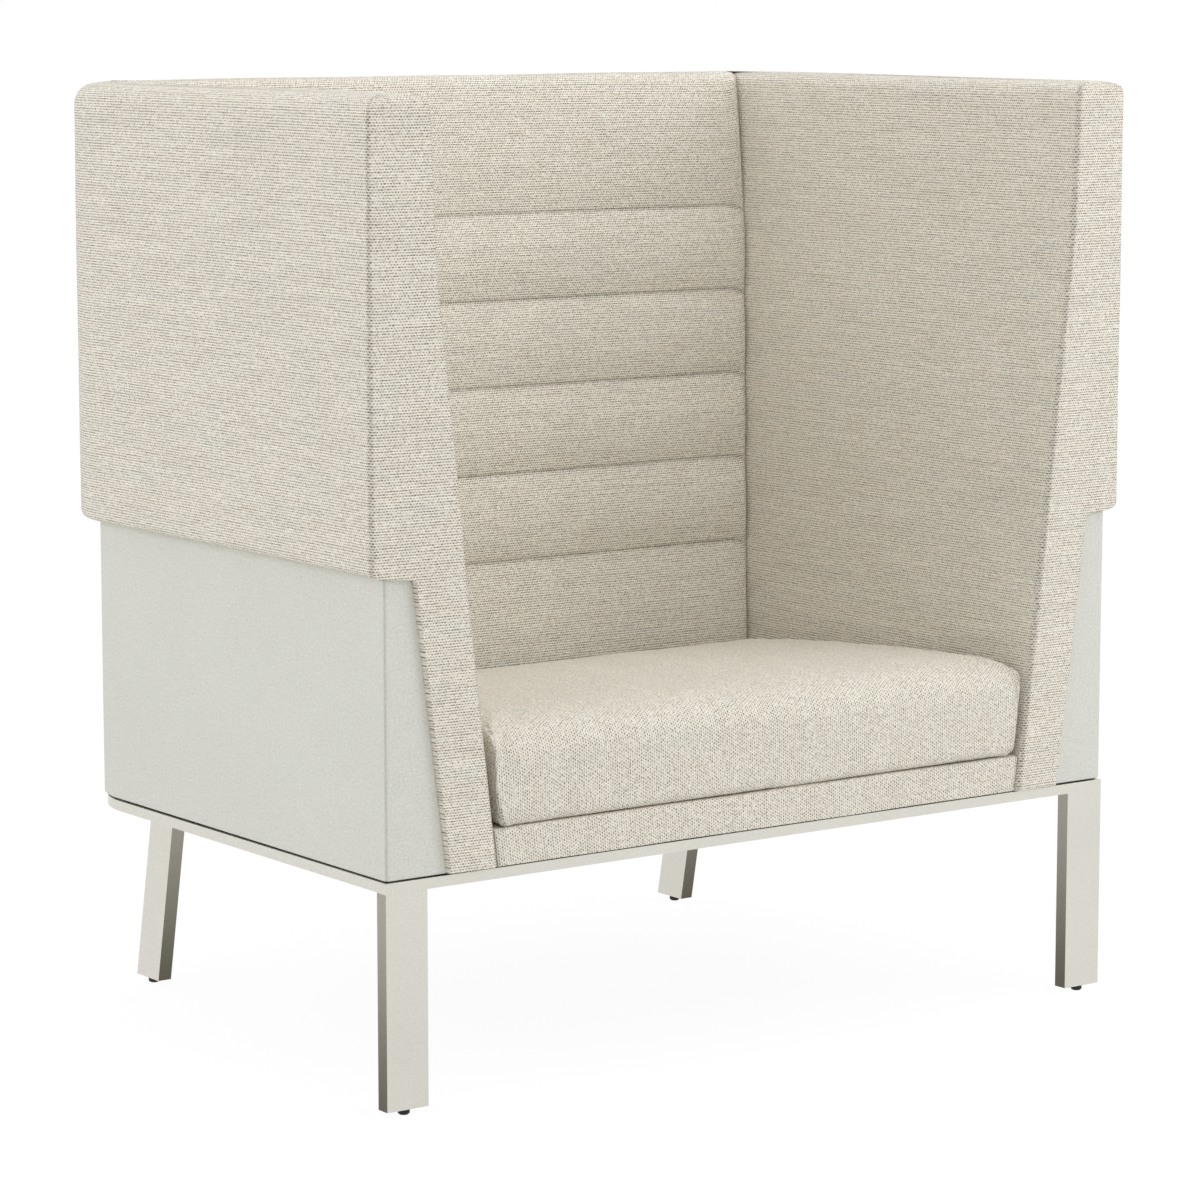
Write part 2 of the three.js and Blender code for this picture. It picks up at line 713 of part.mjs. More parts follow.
// One ring of the cushion: a level from 0 at its foot to 1 at its top edge, inset from its sides
function cushionRing(level, inset, shrink, crown) {
  const footAt = (y) => Math.max(deckTop(Math.max(y, deckFront)), seatRailTop) + softGap;
  const heightAt = (y) => mix(cushionFrontHeight, cushionBackHeight, share(cushionFrontY, backFootY, y));
  const midZ = footAt(deckBack / 2) + level * heightAt(deckBack / 2);
  const half = wallX(midZ) - cushionSideGap - inset;
  const front = cushionFrontY + inset;
  const back = backY(footAt(deckBack)) - cushionSideGap - channelDepth / 2 - inset / 2;
  const radius = cushionCornerRadius;
  const flat = outline([
    [-half, front, radius, edgeSegments + 1],
    [half, front, radius, edgeSegments + 1],
    [half, back, radius, edgeSegments + 1],
    [-half, back, radius, edgeSegments + 1],
  ], 0);
  const middle = (front + back) / 2;
  return flat.map(([x, y]) => {
    const px = x * shrink;
    const py = middle + (y - middle) * shrink;
    return [px, py, footAt(py) + level * heightAt(py) + crown];
  });
}

function seatCushion() {
  const side = (shares, reach) => shares.map(([level, inset]) => cushionRing(level, inset * reach, 1, 0));
  const foot = side(cushionFootShares, cushionFootInset);
  const edge = side(cushionEdgeShares, cushionEdgeInset);
  const crown = cushionCrownShares.map((shrink) => {
    const rise = cushionCrown * (1 - shrink ** crownSharpness);
    return cushionRing(1, cushionEdgeInset, shrink, rise);
  });
  return loft([...foot, ...edge, ...crown]);
}

function buildSeat() {
  add('seat_rail_cover', seatRailCover(), woven);
  const half = wallFootX - softGap;
  const timberTop = bodyBottom + seatTimberHeight;
  const rail = block(-half, half, seatTimberFront, seatTimberBack, bodyBottom, timberTop);
  add('seat_timber', drilled(rail), timber);
  add('seat_deck', seatDeck(), plywood);
  const coverBack = crossBearerFront + stripInset + dustCoverLap;
  const coverTop = bodyBottom + dustCoverThickness;
  const sheet = block(-half, half, seatTimberBack + seatGap, coverBack, bodyBottom, coverTop);
  add('dust_cover', sheet, lining);
  add('seat_cushion', seatCushion(), woven);
}

// Bolts come up through the steel and strips into threaded inserts in the timber and boards
function buildFasteners() {
  const headTop = railBottom - seatGap;
  const bolt = rod(boltHeadRadius, headTop - boltHeadHeight, headTop)
    .add(rod(boltRadius, headTop - boltHeadHeight, bodyBottom + insertLength - boltShort));
  const insert = rod(insertRadius, bodyBottom, bodyBottom + insertLength)
    .subtract(rod(boltRadius + boltClearance, bodyBottom - overrun, bodyBottom + insertLength + overrun));
  for (const [place, x, y] of boltPlaces) {
    add(`bolt_${place}`, geometryOf(bolt), zinc, x, y);
    add(`insert_${place}`, geometryOf(insert), zinc, x, y);
  }
}

buildFrame();
buildLegs();
buildStrips();
buildBody();
buildBack();
buildSeat();
buildFasteners();

// The origin lies on the floor under the middle of the chair
const rearmost = rearLegTopBack + rearLegRake;
chair.position.y = -(cushionFrontY + rearmost) / 2;

export default chair;
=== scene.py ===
# Looks of an acoustic high back lounge chair: woven wings, back and seat, a pale cloth lower shell,
# a satin steel base. Shapes are worked out in millimetres with the front of the base at y = 0.
import math

import bmesh
import bpy
import numpy as np
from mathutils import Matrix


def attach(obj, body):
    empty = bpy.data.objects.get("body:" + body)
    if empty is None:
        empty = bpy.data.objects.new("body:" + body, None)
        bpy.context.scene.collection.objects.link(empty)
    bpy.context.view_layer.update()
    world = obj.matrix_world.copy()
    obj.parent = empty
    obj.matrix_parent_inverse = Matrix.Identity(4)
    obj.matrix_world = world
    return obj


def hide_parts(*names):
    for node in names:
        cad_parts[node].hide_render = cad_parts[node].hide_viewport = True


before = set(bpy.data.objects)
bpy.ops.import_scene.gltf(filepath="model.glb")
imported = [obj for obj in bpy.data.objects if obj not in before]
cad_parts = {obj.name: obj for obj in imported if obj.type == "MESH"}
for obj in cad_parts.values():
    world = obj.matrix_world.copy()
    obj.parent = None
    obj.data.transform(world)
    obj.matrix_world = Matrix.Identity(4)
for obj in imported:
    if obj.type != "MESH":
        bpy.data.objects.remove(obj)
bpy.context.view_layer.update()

depthShift = -401.75     # from the base's front to the middle of the depth
print("chair: frame loaded,", len(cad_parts), "nodes")


class Facts(dict):
    # the sizes or looks of one piece, read by name
    __getattr__ = dict.__getitem__


def addObject(name, data):
    thing = bpy.data.objects.new(name, data)
    bpy.context.scene.collection.objects.link(thing)
    return thing


# Shader arithmetic
class Wire:
    # a shader socket that takes part in ordinary sums
    def __init__(self, nodes, socket):
        self.nodes = nodes
        self.socket = socket

    def calc(self, operation, *others):
        return self.nodes.put("ShaderNodeMath", {"operation": operation}, dict(enumerate((self,) + others)))

    def __add__(self, other):
        return self.calc("ADD", other)

    def __mul__(self, other):
        return self.calc("MULTIPLY", other)

    def __sub__(self, other):
        return self.calc("SUBTRACT", other)

    def __truediv__(self, other):
        return self.calc("DIVIDE", other)

    def __pow__(self, other):
        return self.calc("POWER", other)

    def __rsub__(self, other):
        return self.nodes.put("ShaderNodeMath", {"operation": "SUBTRACT"}, {0: other, 1: self})

    __radd__ = __add__
    __rmul__ = __mul__


class Nodes:
    # one node tree: put() adds any node, mix() blends colours, shade() multiplies a colour by a number,
    # ramp() eases from one value to another, grain() is noise drawn out along the axes with small scales
    def __init__(self, tree):
        self.tree = tree
        tree.nodes.clear()

    def put(self, kind, settings=None, sockets=None, out=0):
        node = self.tree.nodes.new(kind)
        for key, value in (settings or {}).items():
            setattr(node, key, value)
        for key, value in (sockets or {}).items():
            if isinstance(value, Wire):
                self.tree.links.new(value.socket, node.inputs[key])
            else:
                node.inputs[key].default_value = value
        return Wire(self, node.outputs[out])

    def mix(self, share, low, high, blend="MIX"):
        low, high = ((*c, 1) if isinstance(c, tuple) else c for c in (low, high))
        return self.put("ShaderNodeMix", {"data_type": "RGBA", "blend_type": blend},
                        {0: share, 6: low, 7: high}, out=2)

    def shade(self, colour, tone):
        return self.mix(1.0, colour, self.vector(tone, tone, tone), "MULTIPLY")

    def ramp(self, value, low, high, toLow=0.0, toHigh=1.0):
        return self.put("ShaderNodeMapRange", {"interpolation_type": "SMOOTHSTEP"},
                        {0: value, 1: low, 2: high, 3: toLow, 4: toHigh})

    def noise(self, place, scale, detail=2.0, rough=0.5):
        return self.put("ShaderNodeTexNoise", {}, {"Vector": place, "Scale": scale, "Detail": detail,
                                                   "Roughness": rough})

    def grain(self, axes, scales, detail=2.0, rough=0.5, shift=None):
        first, *others = (axis * scale for axis, scale in zip(axes, scales))
        stretched = self.vector(first if shift is None else first + shift, *others)
        return self.noise(stretched, 1.0, detail, rough)

    def vector(self, x, y, z=0.0):
        return self.put("ShaderNodeCombineXYZ", {}, {0: x, 1: y, 2: z})

    def split(self, vector, count=3):
        return [self.put("ShaderNodeSeparateXYZ", {}, {0: vector}, out=i) for i in range(count)]


class Finish(Nodes):
    # one material, with constants for the sockets that don't vary
    def __init__(self, name, **constants):
        self.material = bpy.data.materials.new(name)
        self.material.use_nodes = True
        super().__init__(self.material.node_tree)
        self.surface = self.tree.nodes.new("ShaderNodeBsdfPrincipled")
        self.out = self.tree.nodes.new("ShaderNodeOutputMaterial")
        self.tree.links.new(self.surface.outputs[0], self.out.inputs[0])
        for key, value in constants.items():
            self.surface.inputs[key.replace("_", " ")].default_value = value

    def weaveAxes(self):
        return self.split(self.put("ShaderNodeUVMap", {"uv_map": "weave"}), 2)

    def place(self):
        return self.put("ShaderNodeTexCoord", {}, {}, out=3)

    def seam(self):
        return self.put("ShaderNodeAttribute", {"attribute_name": "seam"}, {}, out=2)

    def finish(self, colour, height, reach, strength, rough=None):
        self.tree.links.new(colour.socket, self.surface.inputs["Base Color"])
        if rough is not None:
            self.tree.links.new(rough.socket, self.surface.inputs["Roughness"])
        bump = self.put("ShaderNodeBump", {}, {"Height": height, "Distance": reach, "Strength": strength})
        self.tree.links.new(bump.socket, self.surface.inputs["Normal"])
        return self.material


cloth = Facts(Sheen_Weight=0.10, Sheen_Roughness=0.5, IOR=1.4)

# Heathered upholstery cloth: thick rows of yarn with small staggered pits between them, slubs along the rows
weave = Facts(
    pitch=0.0034, float=0.0041, wander=0.0013, light=(0.795, 0.750, 0.648), pit=(0.158, 0.118, 0.064),
    # seamShade and seamPit: painted shade along the seams
    rose=(0.775, 0.695, 0.590), slate=(0.730, 0.735, 0.665), relief=0.0015, strength=0.85, seamShade=0.86,
    stray=(110.0, 110.0), strayShift=40.0, knot=(230.0, 340.0), slub=(26.0, 260.0), band=(6.0, 40.0),
    warm=(16.0, 34.0), warmShift=9.0, fluff=(1000.0, 1000.0), thread=(5.0, 3.7), lineSharp=16.0,
    pitLeast=0.45, pitSpread=0.80, pitDepth=1.15, seamPit=0.7, seamStray=3.4, knotDark=0.22,
    roseShare=0.50, slateShare=0.45, toneShares=Facts(band=0.12, knot=0.30, fluff=0.20),
    heightShares=Facts(slub=0.4, knot=0.9, fluff=0.35),
    upright=Facts(wander=1.0, row=5.5, column=2.6, line=0.36, thread=0.30, slub=0.30, base=0.815),
    turned=Facts(wander=1.5, row=3.8, column=3.4, line=0.08, thread=0.10, slub=0.18, base=0.782))


def wovenCloth(name, way):
    # Pits lie on the lattice lines between rows, at every float along a row and half a float further in the
    # next; each is a small ellipse, 1 / (1 + d^2)^2 of its distance, and some are deeper than others. Loose
    # fibres and uneven yarn break the lattice up.
    woven = Finish(name, Roughness=0.92, **cloth)
    axes = woven.weaveAxes()[::-1 if way == "turned" else 1]
    along, across = axes
    looks, tones, heights = weave[way], weave.toneShares, weave.heightShares
    wander = weave.wander * looks.wander
    stray = [woven.grain(axes, weave.stray, 3.0, 0.6, shift) - 0.5 for shift in (0.0, weave.strayShift)]
    rowPlace = (across + stray[0] * wander) / weave.pitch + 0.5
    rowIndex = rowPlace.calc("FLOOR")
    offRow = (rowPlace.calc("FRACT") - 0.5) * 2.0
    stagger = rowIndex.calc("MODULO", 2.0) * 0.5
    columnPlace = (along + stray[1] * wander * 2.0) / weave.float + stagger
    columnIndex = columnPlace.calc("FLOOR")
    offColumn = (columnPlace.calc("FRACT") - 0.5) * 2.0
    speck = woven.put("ShaderNodeTexWhiteNoise", {"noise_dimensions": "2D"},
                      {"Vector": woven.vector(columnIndex, rowIndex)})
    rows = offRow * offRow
    # painted shade along the seams, a band up to 7 mm wide with a frayed edge
    seamShadeMask = woven.ramp(woven.seam() + stray[1] * weave.seamStray, 1.0, 7.0, 1.0, 0.0)
    pit = (rows * looks.row + offColumn * offColumn * looks.column + 1) ** -2.0
    pit = pit * (speck * weave.pitSpread + weave.pitLeast)
    knot = woven.grain(axes, weave.knot, rough=0.6)
    slub = woven.grain(axes, weave.slub)
    line = ((rows * weave.lineSharp + 1) ** -1.0) * woven.ramp(slub, 0.38, 0.66)
    band = woven.grain(axes, weave.band)
    warm = woven.grain(axes, weave.warm, 4.0, 0.62, weave.warmShift)
    fluff = woven.grain(axes, weave.fluff)
    # the pits are darker inside the painted seam shade
    dark = pit * (seamShadeMask * weave.seamPit + weave.pitDepth) + line * looks.line
    dark = (dark + woven.ramp(knot, 0.50, 0.30) * weave.knotDark).calc("MINIMUM", 1.0)
    colour = woven.mix(woven.ramp(warm, 0.48, 0.74) * weave.roseShare, weave.light, weave.rose)
    colour = woven.mix(woven.ramp(warm, 0.50, 0.26) * weave.slateShare, colour, weave.slate)
    colour = woven.mix(dark, colour, weave.pit)
    # painted seam shade over the whole colour
    seamShadow = 1.0 - seamShadeMask * (1.0 - weave.seamShade)
    thread = woven.grain((along, rowIndex), weave.thread)
    tone = (slub - 0.5) * looks.slub + band * tones.band + (thread - 0.5) * looks.thread
    tone = (tone + knot * tones.knot + fluff * tones.fluff + looks.base) * seamShadow
    height = 1.0 - dark + slub * heights.slub + knot * heights.knot + fluff * heights.fluff
    return woven.finish(woven.shade(colour, tone), height, weave.relief, weave.strength)


# Fine plain cloth of the lower shell
plainWeave = Facts(
    pitch=0.0011, light=(0.722, 0.720, 0.646), gap=(0.570, 0.572, 0.508), relief=0.00016, strength=0.7,
    seamShade=0.80, powder=(330.0, 330.0), streak=(30.0, 900.0), cross=(900.0, 30.0), patch=(6.0, 6.0),
    base=0.51, toneShares=(0.16, 0.16, 0.06, 0.60), heightShares=(0.5, 0.5, 1.5))


def plainCloth(name):
    plain = Finish(name, Roughness=0.88, **cloth)
    axes = plain.weaveAxes()
    along, across = (((axis / plainWeave.pitch).calc("FRACT") * math.pi).calc("SINE") for axis in axes)
    yarn = across * along
    powder = plain.grain(axes, plainWeave.powder, 3.0, 0.75)
    streak, cross, patch = (plain.grain(axes, plainWeave[name]) for name in ("streak", "cross", "patch"))
    colour = plain.mix(yarn ** 0.5, plainWeave.gap, plainWeave.light)
    # painted shade along the seams
    line = plain.ramp(plain.seam(), 0.3, 2.5, plainWeave.seamShade, 1.0)
    a, b, c, d = plainWeave.toneShares
    tone = (streak * a + cross * b + patch * c + powder * d + plainWeave.base) * line
    a, b, c = plainWeave.heightShares
    height = yarn + streak * a + cross * b + powder * c
    return plain.finish(plain.shade(colour, tone), height, plainWeave.relief, plainWeave.strength)


# Satin plated steel: warm pale face, powdery grain; painted dark reflection on the flat legs' narrow faces
steelTone = Facts(
    # edge and foot: the painted dark reflection on the legs' narrow faces, at the top and at the foot
    face=(0.678, 0.664, 0.596), edge=(0.380, 0.365, 0.305), foot=(0.105, 0.098, 0.070),
    # corner: the painted highlight on the bevelled edges
    corner=(0.860, 0.850, 0.800), rough=0.24, legTop=(0.2775, 0.2768), frontLegs=(0.0, -0.02),
    fall=(-0.04, 0.30), grain=(620.0, 620.0, 420.0), fine=(1500.0, 1500.0, 300.0), cloud=7.0,
    toneShares=(0.42, 0.20, 0.08), base=0.65)


def satinSteel(name):
    steel = Finish(name, Metallic=0.92, IOR=1.5)
    place = steel.place()
    axes = x, y, z = steel.split(place)
    normal = steel.put("ShaderNodeTexCoord", {}, {}, out=1)
    nx, ny, nz = (part.calc("ABSOLUTE") for part in steel.split(normal))
    legs = steel.ramp(z, *steelTone.legTop)
    atFront = steel.ramp(y, *steelTone.frontLegs)
    # the legs' narrow faces, which carry a painted dark reflection
    cut = legs * (atFront * steel.ramp(nx, 0.80, 0.97) + (1 - atFront) * steel.ramp(ny, 0.80, 0.97))
    grain = steel.grain(axes, steelTone.grain, 3.0)
    fine = steel.grain(axes, steelTone.fine)
    cloud = steel.noise(place, steelTone.cloud, 3.0)
    # painted reflection, darker from the top of each leg down to its foot
    paintedLegReflection = steel.mix(steel.ramp(z, *steelTone.fall), steelTone.foot, steelTone.edge)
    colour = steel.mix(cut, steelTone.face, paintedLegReflection)
    # painted highlight: bevel faces blend towards the pale corner colour
    rounded = (nx * ny * legs + (nx + ny) * nz * (1 - legs)) * 2.0
    colour = steel.mix(steel.ramp(rounded, 0.45, 0.85), colour, steelTone.corner)
    a, b, c = steelTone.toneShares
    tone = grain * a + fine * b + cloud * c + steelTone.base
    rough = grain * 0.16 + cloud * 0.08 + steelTone.rough
    return steel.finish(steel.shade(colour, tone), grain + fine * 0.5, 0.00005, 0.6, rough)


# Birch plywood: long grain on the faces, dark glue lines through the thickness
birch = Facts(
    grain=(8.0, 90.0, 90.0), ply=0.0026, dark=(0.470, 0.310, 0.170), light=(0.640, 0.470, 0.290),
    glue=(0.260, 0.150, 0.070))


def birchPlywood(name, thickness):
    wood = Finish(name, Roughness=0.6, IOR=1.45)
    axes = wood.split(wood.place())
    grain = wood.grain(axes, birch.grain, 4.0)
    plies = ((axes[thickness] * (math.pi / birch.ply)).calc("SINE") * 0.5) + 0.5
    colour = wood.mix(grain, birch.dark, birch.light)
    colour = wood.mix(plies ** 5.0 * 0.35, colour, birch.glue)
    return wood.finish(colour, grain, 0.0002, 0.4, grain * 0.2 + 0.5)


pineWood = Facts(
    wander=(3.0, 20.0, 20.0), fibre=(20.0, 900.0, 900.0), rings=520.0, bend=14.0,
    light=(0.640, 0.440, 0.230), dark=(0.440, 0.250, 0.100))


def pineTimber(name):
    wood = Finish(name, Roughness=0.6, IOR=1.45)
    axes = wood.split(wood.place())
    wander = wood.grain(axes, pineWood.wander)
    rings = ((axes[1] * pineWood.rings + wander * pineWood.bend).calc("SINE") * 0.5) + 0.5
    fibre = wood.grain(axes, pineWood.fibre, 3.0)
    colour = wood.mix(rings ** 3.0, pineWood.light, pineWood.dark)
    colour = wood.shade(colour, fibre * 0.2 + 0.88)
    return wood.finish(colour, fibre + rings * 0.3, 0.0002, 0.4, fibre * 0.2 + 0.5)


def speckled(name, low, high, grainScale, cloud, relief, rough, **constants):
    # cloudy between two colours, with a fine grain
    dull = Finish(name, **constants)
    place = dull.place()
    grain = dull.noise(place, *grainScale)
    colour = dull.mix(dull.noise(place, *cloud), low, high)
    return dull.finish(colour, grain, relief, 0.5, grain * 0.15 + rough)


def mouldedBlack(name, base, rough, grainScale):
    low, high = (tuple(c * share for c in base) for share in (0.8, 1.25))
    return speckled(name, low, high, (grainScale, 3.0), (30.0, 2.0), 0.0001, rough, IOR=1.5)


felt = Facts(
    fibre=(1500.0, 400.0, 400.0), cross=(400.0, 1500.0, 400.0), dark=(0.012, 0.012, 0.013),
    light=(0.045, 0.045, 0.048))


def feltLining(name):
    black = Finish(name, Roughness=0.95, IOR=1.4)
    axes = black.split(black.place())
    fibre, cross = (black.grain(axes, felt[way], 3.0) for way in ("fibre", "cross"))
    colour = black.mix(fibre * cross * 1.8, felt.dark, felt.light)
    return black.finish(colour, fibre + cross, 0.0003, 0.6)


woven = wovenCloth("Woven cloth", "upright")
wovenTurned = wovenCloth("Woven cloth, turned", "turned")
plain = plainCloth("Plain pale cloth")
steel = satinSteel("Satin steel")
boardPly = birchPlywood("Birch plywood, upright", 1)
sidePly = birchPlywood("Birch plywood, sides", 0)
deckPly = birchPlywood("Birch plywood, flat", 2)
pine = pineTimber("Pine timber")
# the spacer strips are real, but near black so that the gap under the body reads as shade: partly painted
# shade
rubber = mouldedBlack("Spacer rubber, black as the gap's shade", (0.012, 0.012, 0.012), 0.75, 700.0)
glide = mouldedBlack("Glide plastic", (0.004, 0.004, 0.004), 0.60, 1200.0)
zinc = speckled("Zinc plate", (0.500, 0.510, 0.530), (0.700, 0.700, 0.680), (900.0, 2.0), (160.0, 3.0),
                0.00005, 0.28, Metallic=1.0)
lining = feltLining("Black lining")
print("chair: finishes made")


# Surfaces from arrays
def ease(count, sharp=1.0):
    # shares strictly between 0 and 1, drawn towards both ends as sharp grows
    share = np.linspace(0, 1, count + 2)[1:-1]
    return 0.5 - 0.5 * np.sign(0.5 - share) * (1 - (1 - np.abs(2 * share - 1)) ** sharp)


def unit(vectors):
    return vectors / np.maximum(np.linalg.norm(vectors, axis=-1, keepdims=True), 1e-9)


def byRow(rows, *values):
    # a column for each value, which is one number or one for every row
    return np.stack([np.broadcast_to(value, rows) for value in values], 1)


def outlineOf(rows, *points):
    return np.stack([byRow(rows, *point) for point in points], 1)


def roundedRings(corners, radii, arcCounts, runs):
    # Each row is a closed outline: every corner (rows, n, 2) turns on an arc of its radius, centre on the
    # bisector at radius / sin(half angle), and a straight run joins it to the next corner's arc.
    # Returns the points and the column at the middle of each corner.
    count = corners.shape[1]
    arcs = []
    for i in range(count):
        here, before, after = corners[:, i], corners[:, i - 1], corners[:, (i + 1) % count]
        if arcCounts[i] == 1:
            arcs.append(here[:, None, :])
            continue
        back, ahead = unit(before - here), unit(after - here)
        half = np.arccos(np.clip((back * ahead).sum(-1), -1, 1)) / 2
        radius = radii[:, i]
        centre = here + unit(back + ahead) * (radius / np.sin(half))[:, None]
        arm = here + back * (radius / np.tan(half))[:, None] - centre
        turn = (math.pi - 2 * half)[:, None] * np.linspace(0, 1, arcCounts[i])[None, :]
        cos, sin = np.cos(turn), np.sin(turn)
        arcs.append(np.stack([centre[:, :1] + arm[:, :1] * cos - arm[:, 1:] * sin,
                              centre[:, 1:] + arm[:, :1] * sin + arm[:, 1:] * cos], -1))
    points, middles, column = [], [], 0
    for i in range(count):
        middles.append(column + arcCounts[i] // 2)
        shares = ease(*runs[i])
        run = arcs[i][:, -1:] + (arcs[(i + 1) % count][:, :1] - arcs[i][:, -1:]) * shares[None, :, None]
        points += [arcs[i], run]
        column += arcCounts[i] + len(shares)
    return np.concatenate(points, 1), middles


def between(rings, first, last):
    # the columns of a closed ring from first to last, both kept
    count = rings.shape[1]
    return rings[:, np.arange(first, last + (count if last <= first else 0) + 1) % count]


def fourSides(rings, middle):
    return [between(rings, middle[i], middle[(i + 1) % 4]) for i in range(4)]


def capOf(sides, row):
    # Coons patch over one row of four sides: ruled both ways, less the bilinear patch of its corners
    near, end, far, start = (side[row] for side in sides)
    far, start = far[::-1], start[::-1]
    s = np.linspace(0, 1, len(near))[None, :, None]
    t = np.linspace(0, 1, len(start))[:, None, None]
    ruled = (1 - t) * near[None] + t * far[None] + (1 - s) * start[:, None] + s * end[:, None]
    return ruled - ((1 - t) * ((1 - s) * near[0] + s * near[-1]) + t * ((1 - s) * far[0] + s * far[-1]))


def swell(count):
    # half a wave of a sine, from 0 over 1 back to 0
    return np.sin(np.linspace(0, math.pi, count))


def runLength(points, axis):
    # distance travelled along one axis of a grid of points
    step = np.linalg.norm(np.diff(points, axis=axis), axis=-1)
    start = np.zeros_like(np.take(step, [0], axis))
    return np.concatenate([start, np.cumsum(step, axis)], axis)


farFromSeam = 99.0


def patchOf(points, u, v, seam=farFromSeam):
    shape = points.shape[:2]
    uv = np.stack([np.broadcast_to(u, shape), np.broadcast_to(v, shape)], -1) / 1000
    return {"points": points, "uv": uv, "seam": np.broadcast_to(seam, shape)}


def cleanMesh(mesh, weld, flat=None):
    # welds near points, drops empty faces or joins flat ones, turns faces outwards and counts open edges
    shape = bmesh.new()
    shape.from_mesh(mesh)
    bmesh.ops.remove_doubles(shape, verts=shape.verts, dist=weld)
    if flat is None:
        bmesh.ops.dissolve_degenerate(shape, edges=shape.edges, dist=1e-7)
    else:
        bmesh.ops.dissolve_limit(shape, angle_limit=flat, verts=shape.verts, edges=shape.edges)
    bmesh.ops.recalc_face_normals(shape, faces=shape.faces)
    openEdges = sum(not edge.is_manifold for edge in shape.edges)
    shape.to_mesh(mesh)
    shape.free()
    return openEdges


def skinObject(name, patches, material, mirror=False):
    # Quads over every grid, welded where they meet; x changes sign for the other side
    points, quads, uvs, seams, offset = [], [], [], [], 0
    for patch in patches:
        rows, columns = patch["points"].shape[:2]
        index = np.arange(rows * columns).reshape(rows, columns) + offset
        faces = np.stack([index[:-1, :-1], index[:-1, 1:], index[1:, 1:], index[1:, :-1]], -1).reshape(-1, 4)
        points.append(patch["points"].reshape(-1, 3))
        seams.append(patch["seam"].reshape(-1))
        uvs.append(patch["uv"].reshape(-1, 2)[faces - offset].reshape(-1, 2))
        quads.append(faces)
        offset += rows * columns
    place = (np.concatenate(points) * [-1 if mirror else 1, 1, 1] + [0, depthShift, 0]) / 1000
    quads = np.concatenate(quads)
    mesh = bpy.data.meshes.new(name)
    mesh.vertices.add(len(place))
    mesh.vertices.foreach_set("co", place.astype(np.float32).ravel())
    mesh.loops.add(quads.size)
    mesh.loops.foreach_set("vertex_index", quads.astype(np.int32).ravel())
    mesh.polygons.add(len(quads))
    mesh.polygons.foreach_set("loop_start", np.arange(0, quads.size, 4, dtype=np.int32))
    mesh.polygons.foreach_set("use_smooth", np.ones(len(quads), bool))
    weaveShift = 3.3 if mirror else 0              # so that the two sides don't show the same yarns
    uv = np.concatenate(uvs) + [0, weaveShift]
    mesh.uv_layers.new(name="weave").data.foreach_set("uv", uv.astype(np.float32).ravel())
    mesh.attributes.new("seam", "FLOAT", "POINT")
    mesh.attributes["seam"].data.foreach_set("value", np.concatenate(seams).astype(np.float32))
    mesh.update(calc_edges=True)
    openEdges = cleanMesh(mesh, 1e-5)
    mesh.materials.append(material)
    print("chair:", name, len(mesh.polygons), "faces,", openEdges, "open edges")
    return addObject(name, mesh)


def readPoints(thing):
    place = np.empty(len(thing.data.vertices) * 3, np.float32)
    thing.data.vertices.foreach_get("co", place)
    return place.reshape(-1, 3).astype(float)


def writePoints(thing, place):
    thing.data.vertices.foreach_set("co", place.astype(np.float32).ravel())
    thing.data.update()


def sinkSeams(thing, depth, width, wave, waveLength):
    # Each point moves in along its normal by depth * exp(-(seam distance / width)^2), in mm, and by a slow
    # sum of sines so that long faces aren't dead flat; the wave's length is in metres
    mesh = thing.data
    normals = np.empty(len(mesh.vertices) * 3, np.float32)
    mesh.vertex_normals.foreach_get("vector", normals)
    seams = np.empty(len(mesh.vertices), np.float32)
    mesh.attributes["seam"].data.foreach_get("value", seams)
    place = readPoints(thing)
    k = 2 * math.pi / waveLength
    x, y, z = place.T
    slow = np.sin(k * (x + 0.31 * z)) * np.sin(0.83 * k * (z + 0.2 * y))
    slow = slow + 0.6 * np.sin(0.47 * k * (y - 0.7 * z + x))
    move = depth * np.exp(-(seams / width) ** 2) + wave * slow
    writePoints(thing, place - normals.reshape(-1, 3) * move[:, None] / 1000)


def roundStages(count):
    # how far in and how far down a rounded edge is, as shares of its radius, from its start to its end
    angle = np.linspace(0, math.pi / 2, count)
    return 1 - np.cos(angle), 1 - np.sin(angle)


def roundShares(rows, count):
    # for every row, how much of the rounding at the foot and at the head is drawn in
    foot, head = np.zeros((2, rows + 2 * count))
    head[-count:] = roundStages(count)[0]
    foot[:count] = head[:-count - 1:-1]
    return foot, head


def inner(start, end, count):
    # evenly spaced values between two ends, without the ends
    return np.linspace(start, end, count + 2)[1:-1]


def wallHeights(rows, count, z0, z1, low, high):
    # heights of a wall from z0 to z1; low and high are each column's rounding at its foot and its head
    down = roundStages(count)[1][:, None]
    share = inner(0, 1, rows)[:, None]
    low, high = np.broadcast_arrays(low, high)
    return np.concatenate([z0 + low * down[::-1], (z0 + low) * (1 - share) + (z1 - high) * share,
                           z1 - high * down])


# Sizes shared by the upholstery
body = Facts(
    foot=293.1, top=1234.0, kink=1020.0, wingFoot=663.0, half=600.0, back=800.0, wallTop=513.0,
    wallKink=504.0, wallFoot=421.0, shellHalf=579.0, shellFoot=491.0, shellTop=539.0, shellFront=1.0,
    shellBack=779.0, panel=25.0, inward=459.0, backFoot=572.0, backTop=724.5)


def wallX(z):
    return np.interp(z, [body.foot, body.kink, body.top],
                     [body.wallFoot, body.wallKink, body.wallTop])


def splitX(z):
    return np.interp(z, [body.foot, body.wingFoot], [body.shellFoot, body.shellTop])


def backY(z):
    share = (z - body.foot) / (body.top - body.foot)
    return body.backFoot + (body.backTop - body.backFoot) * share


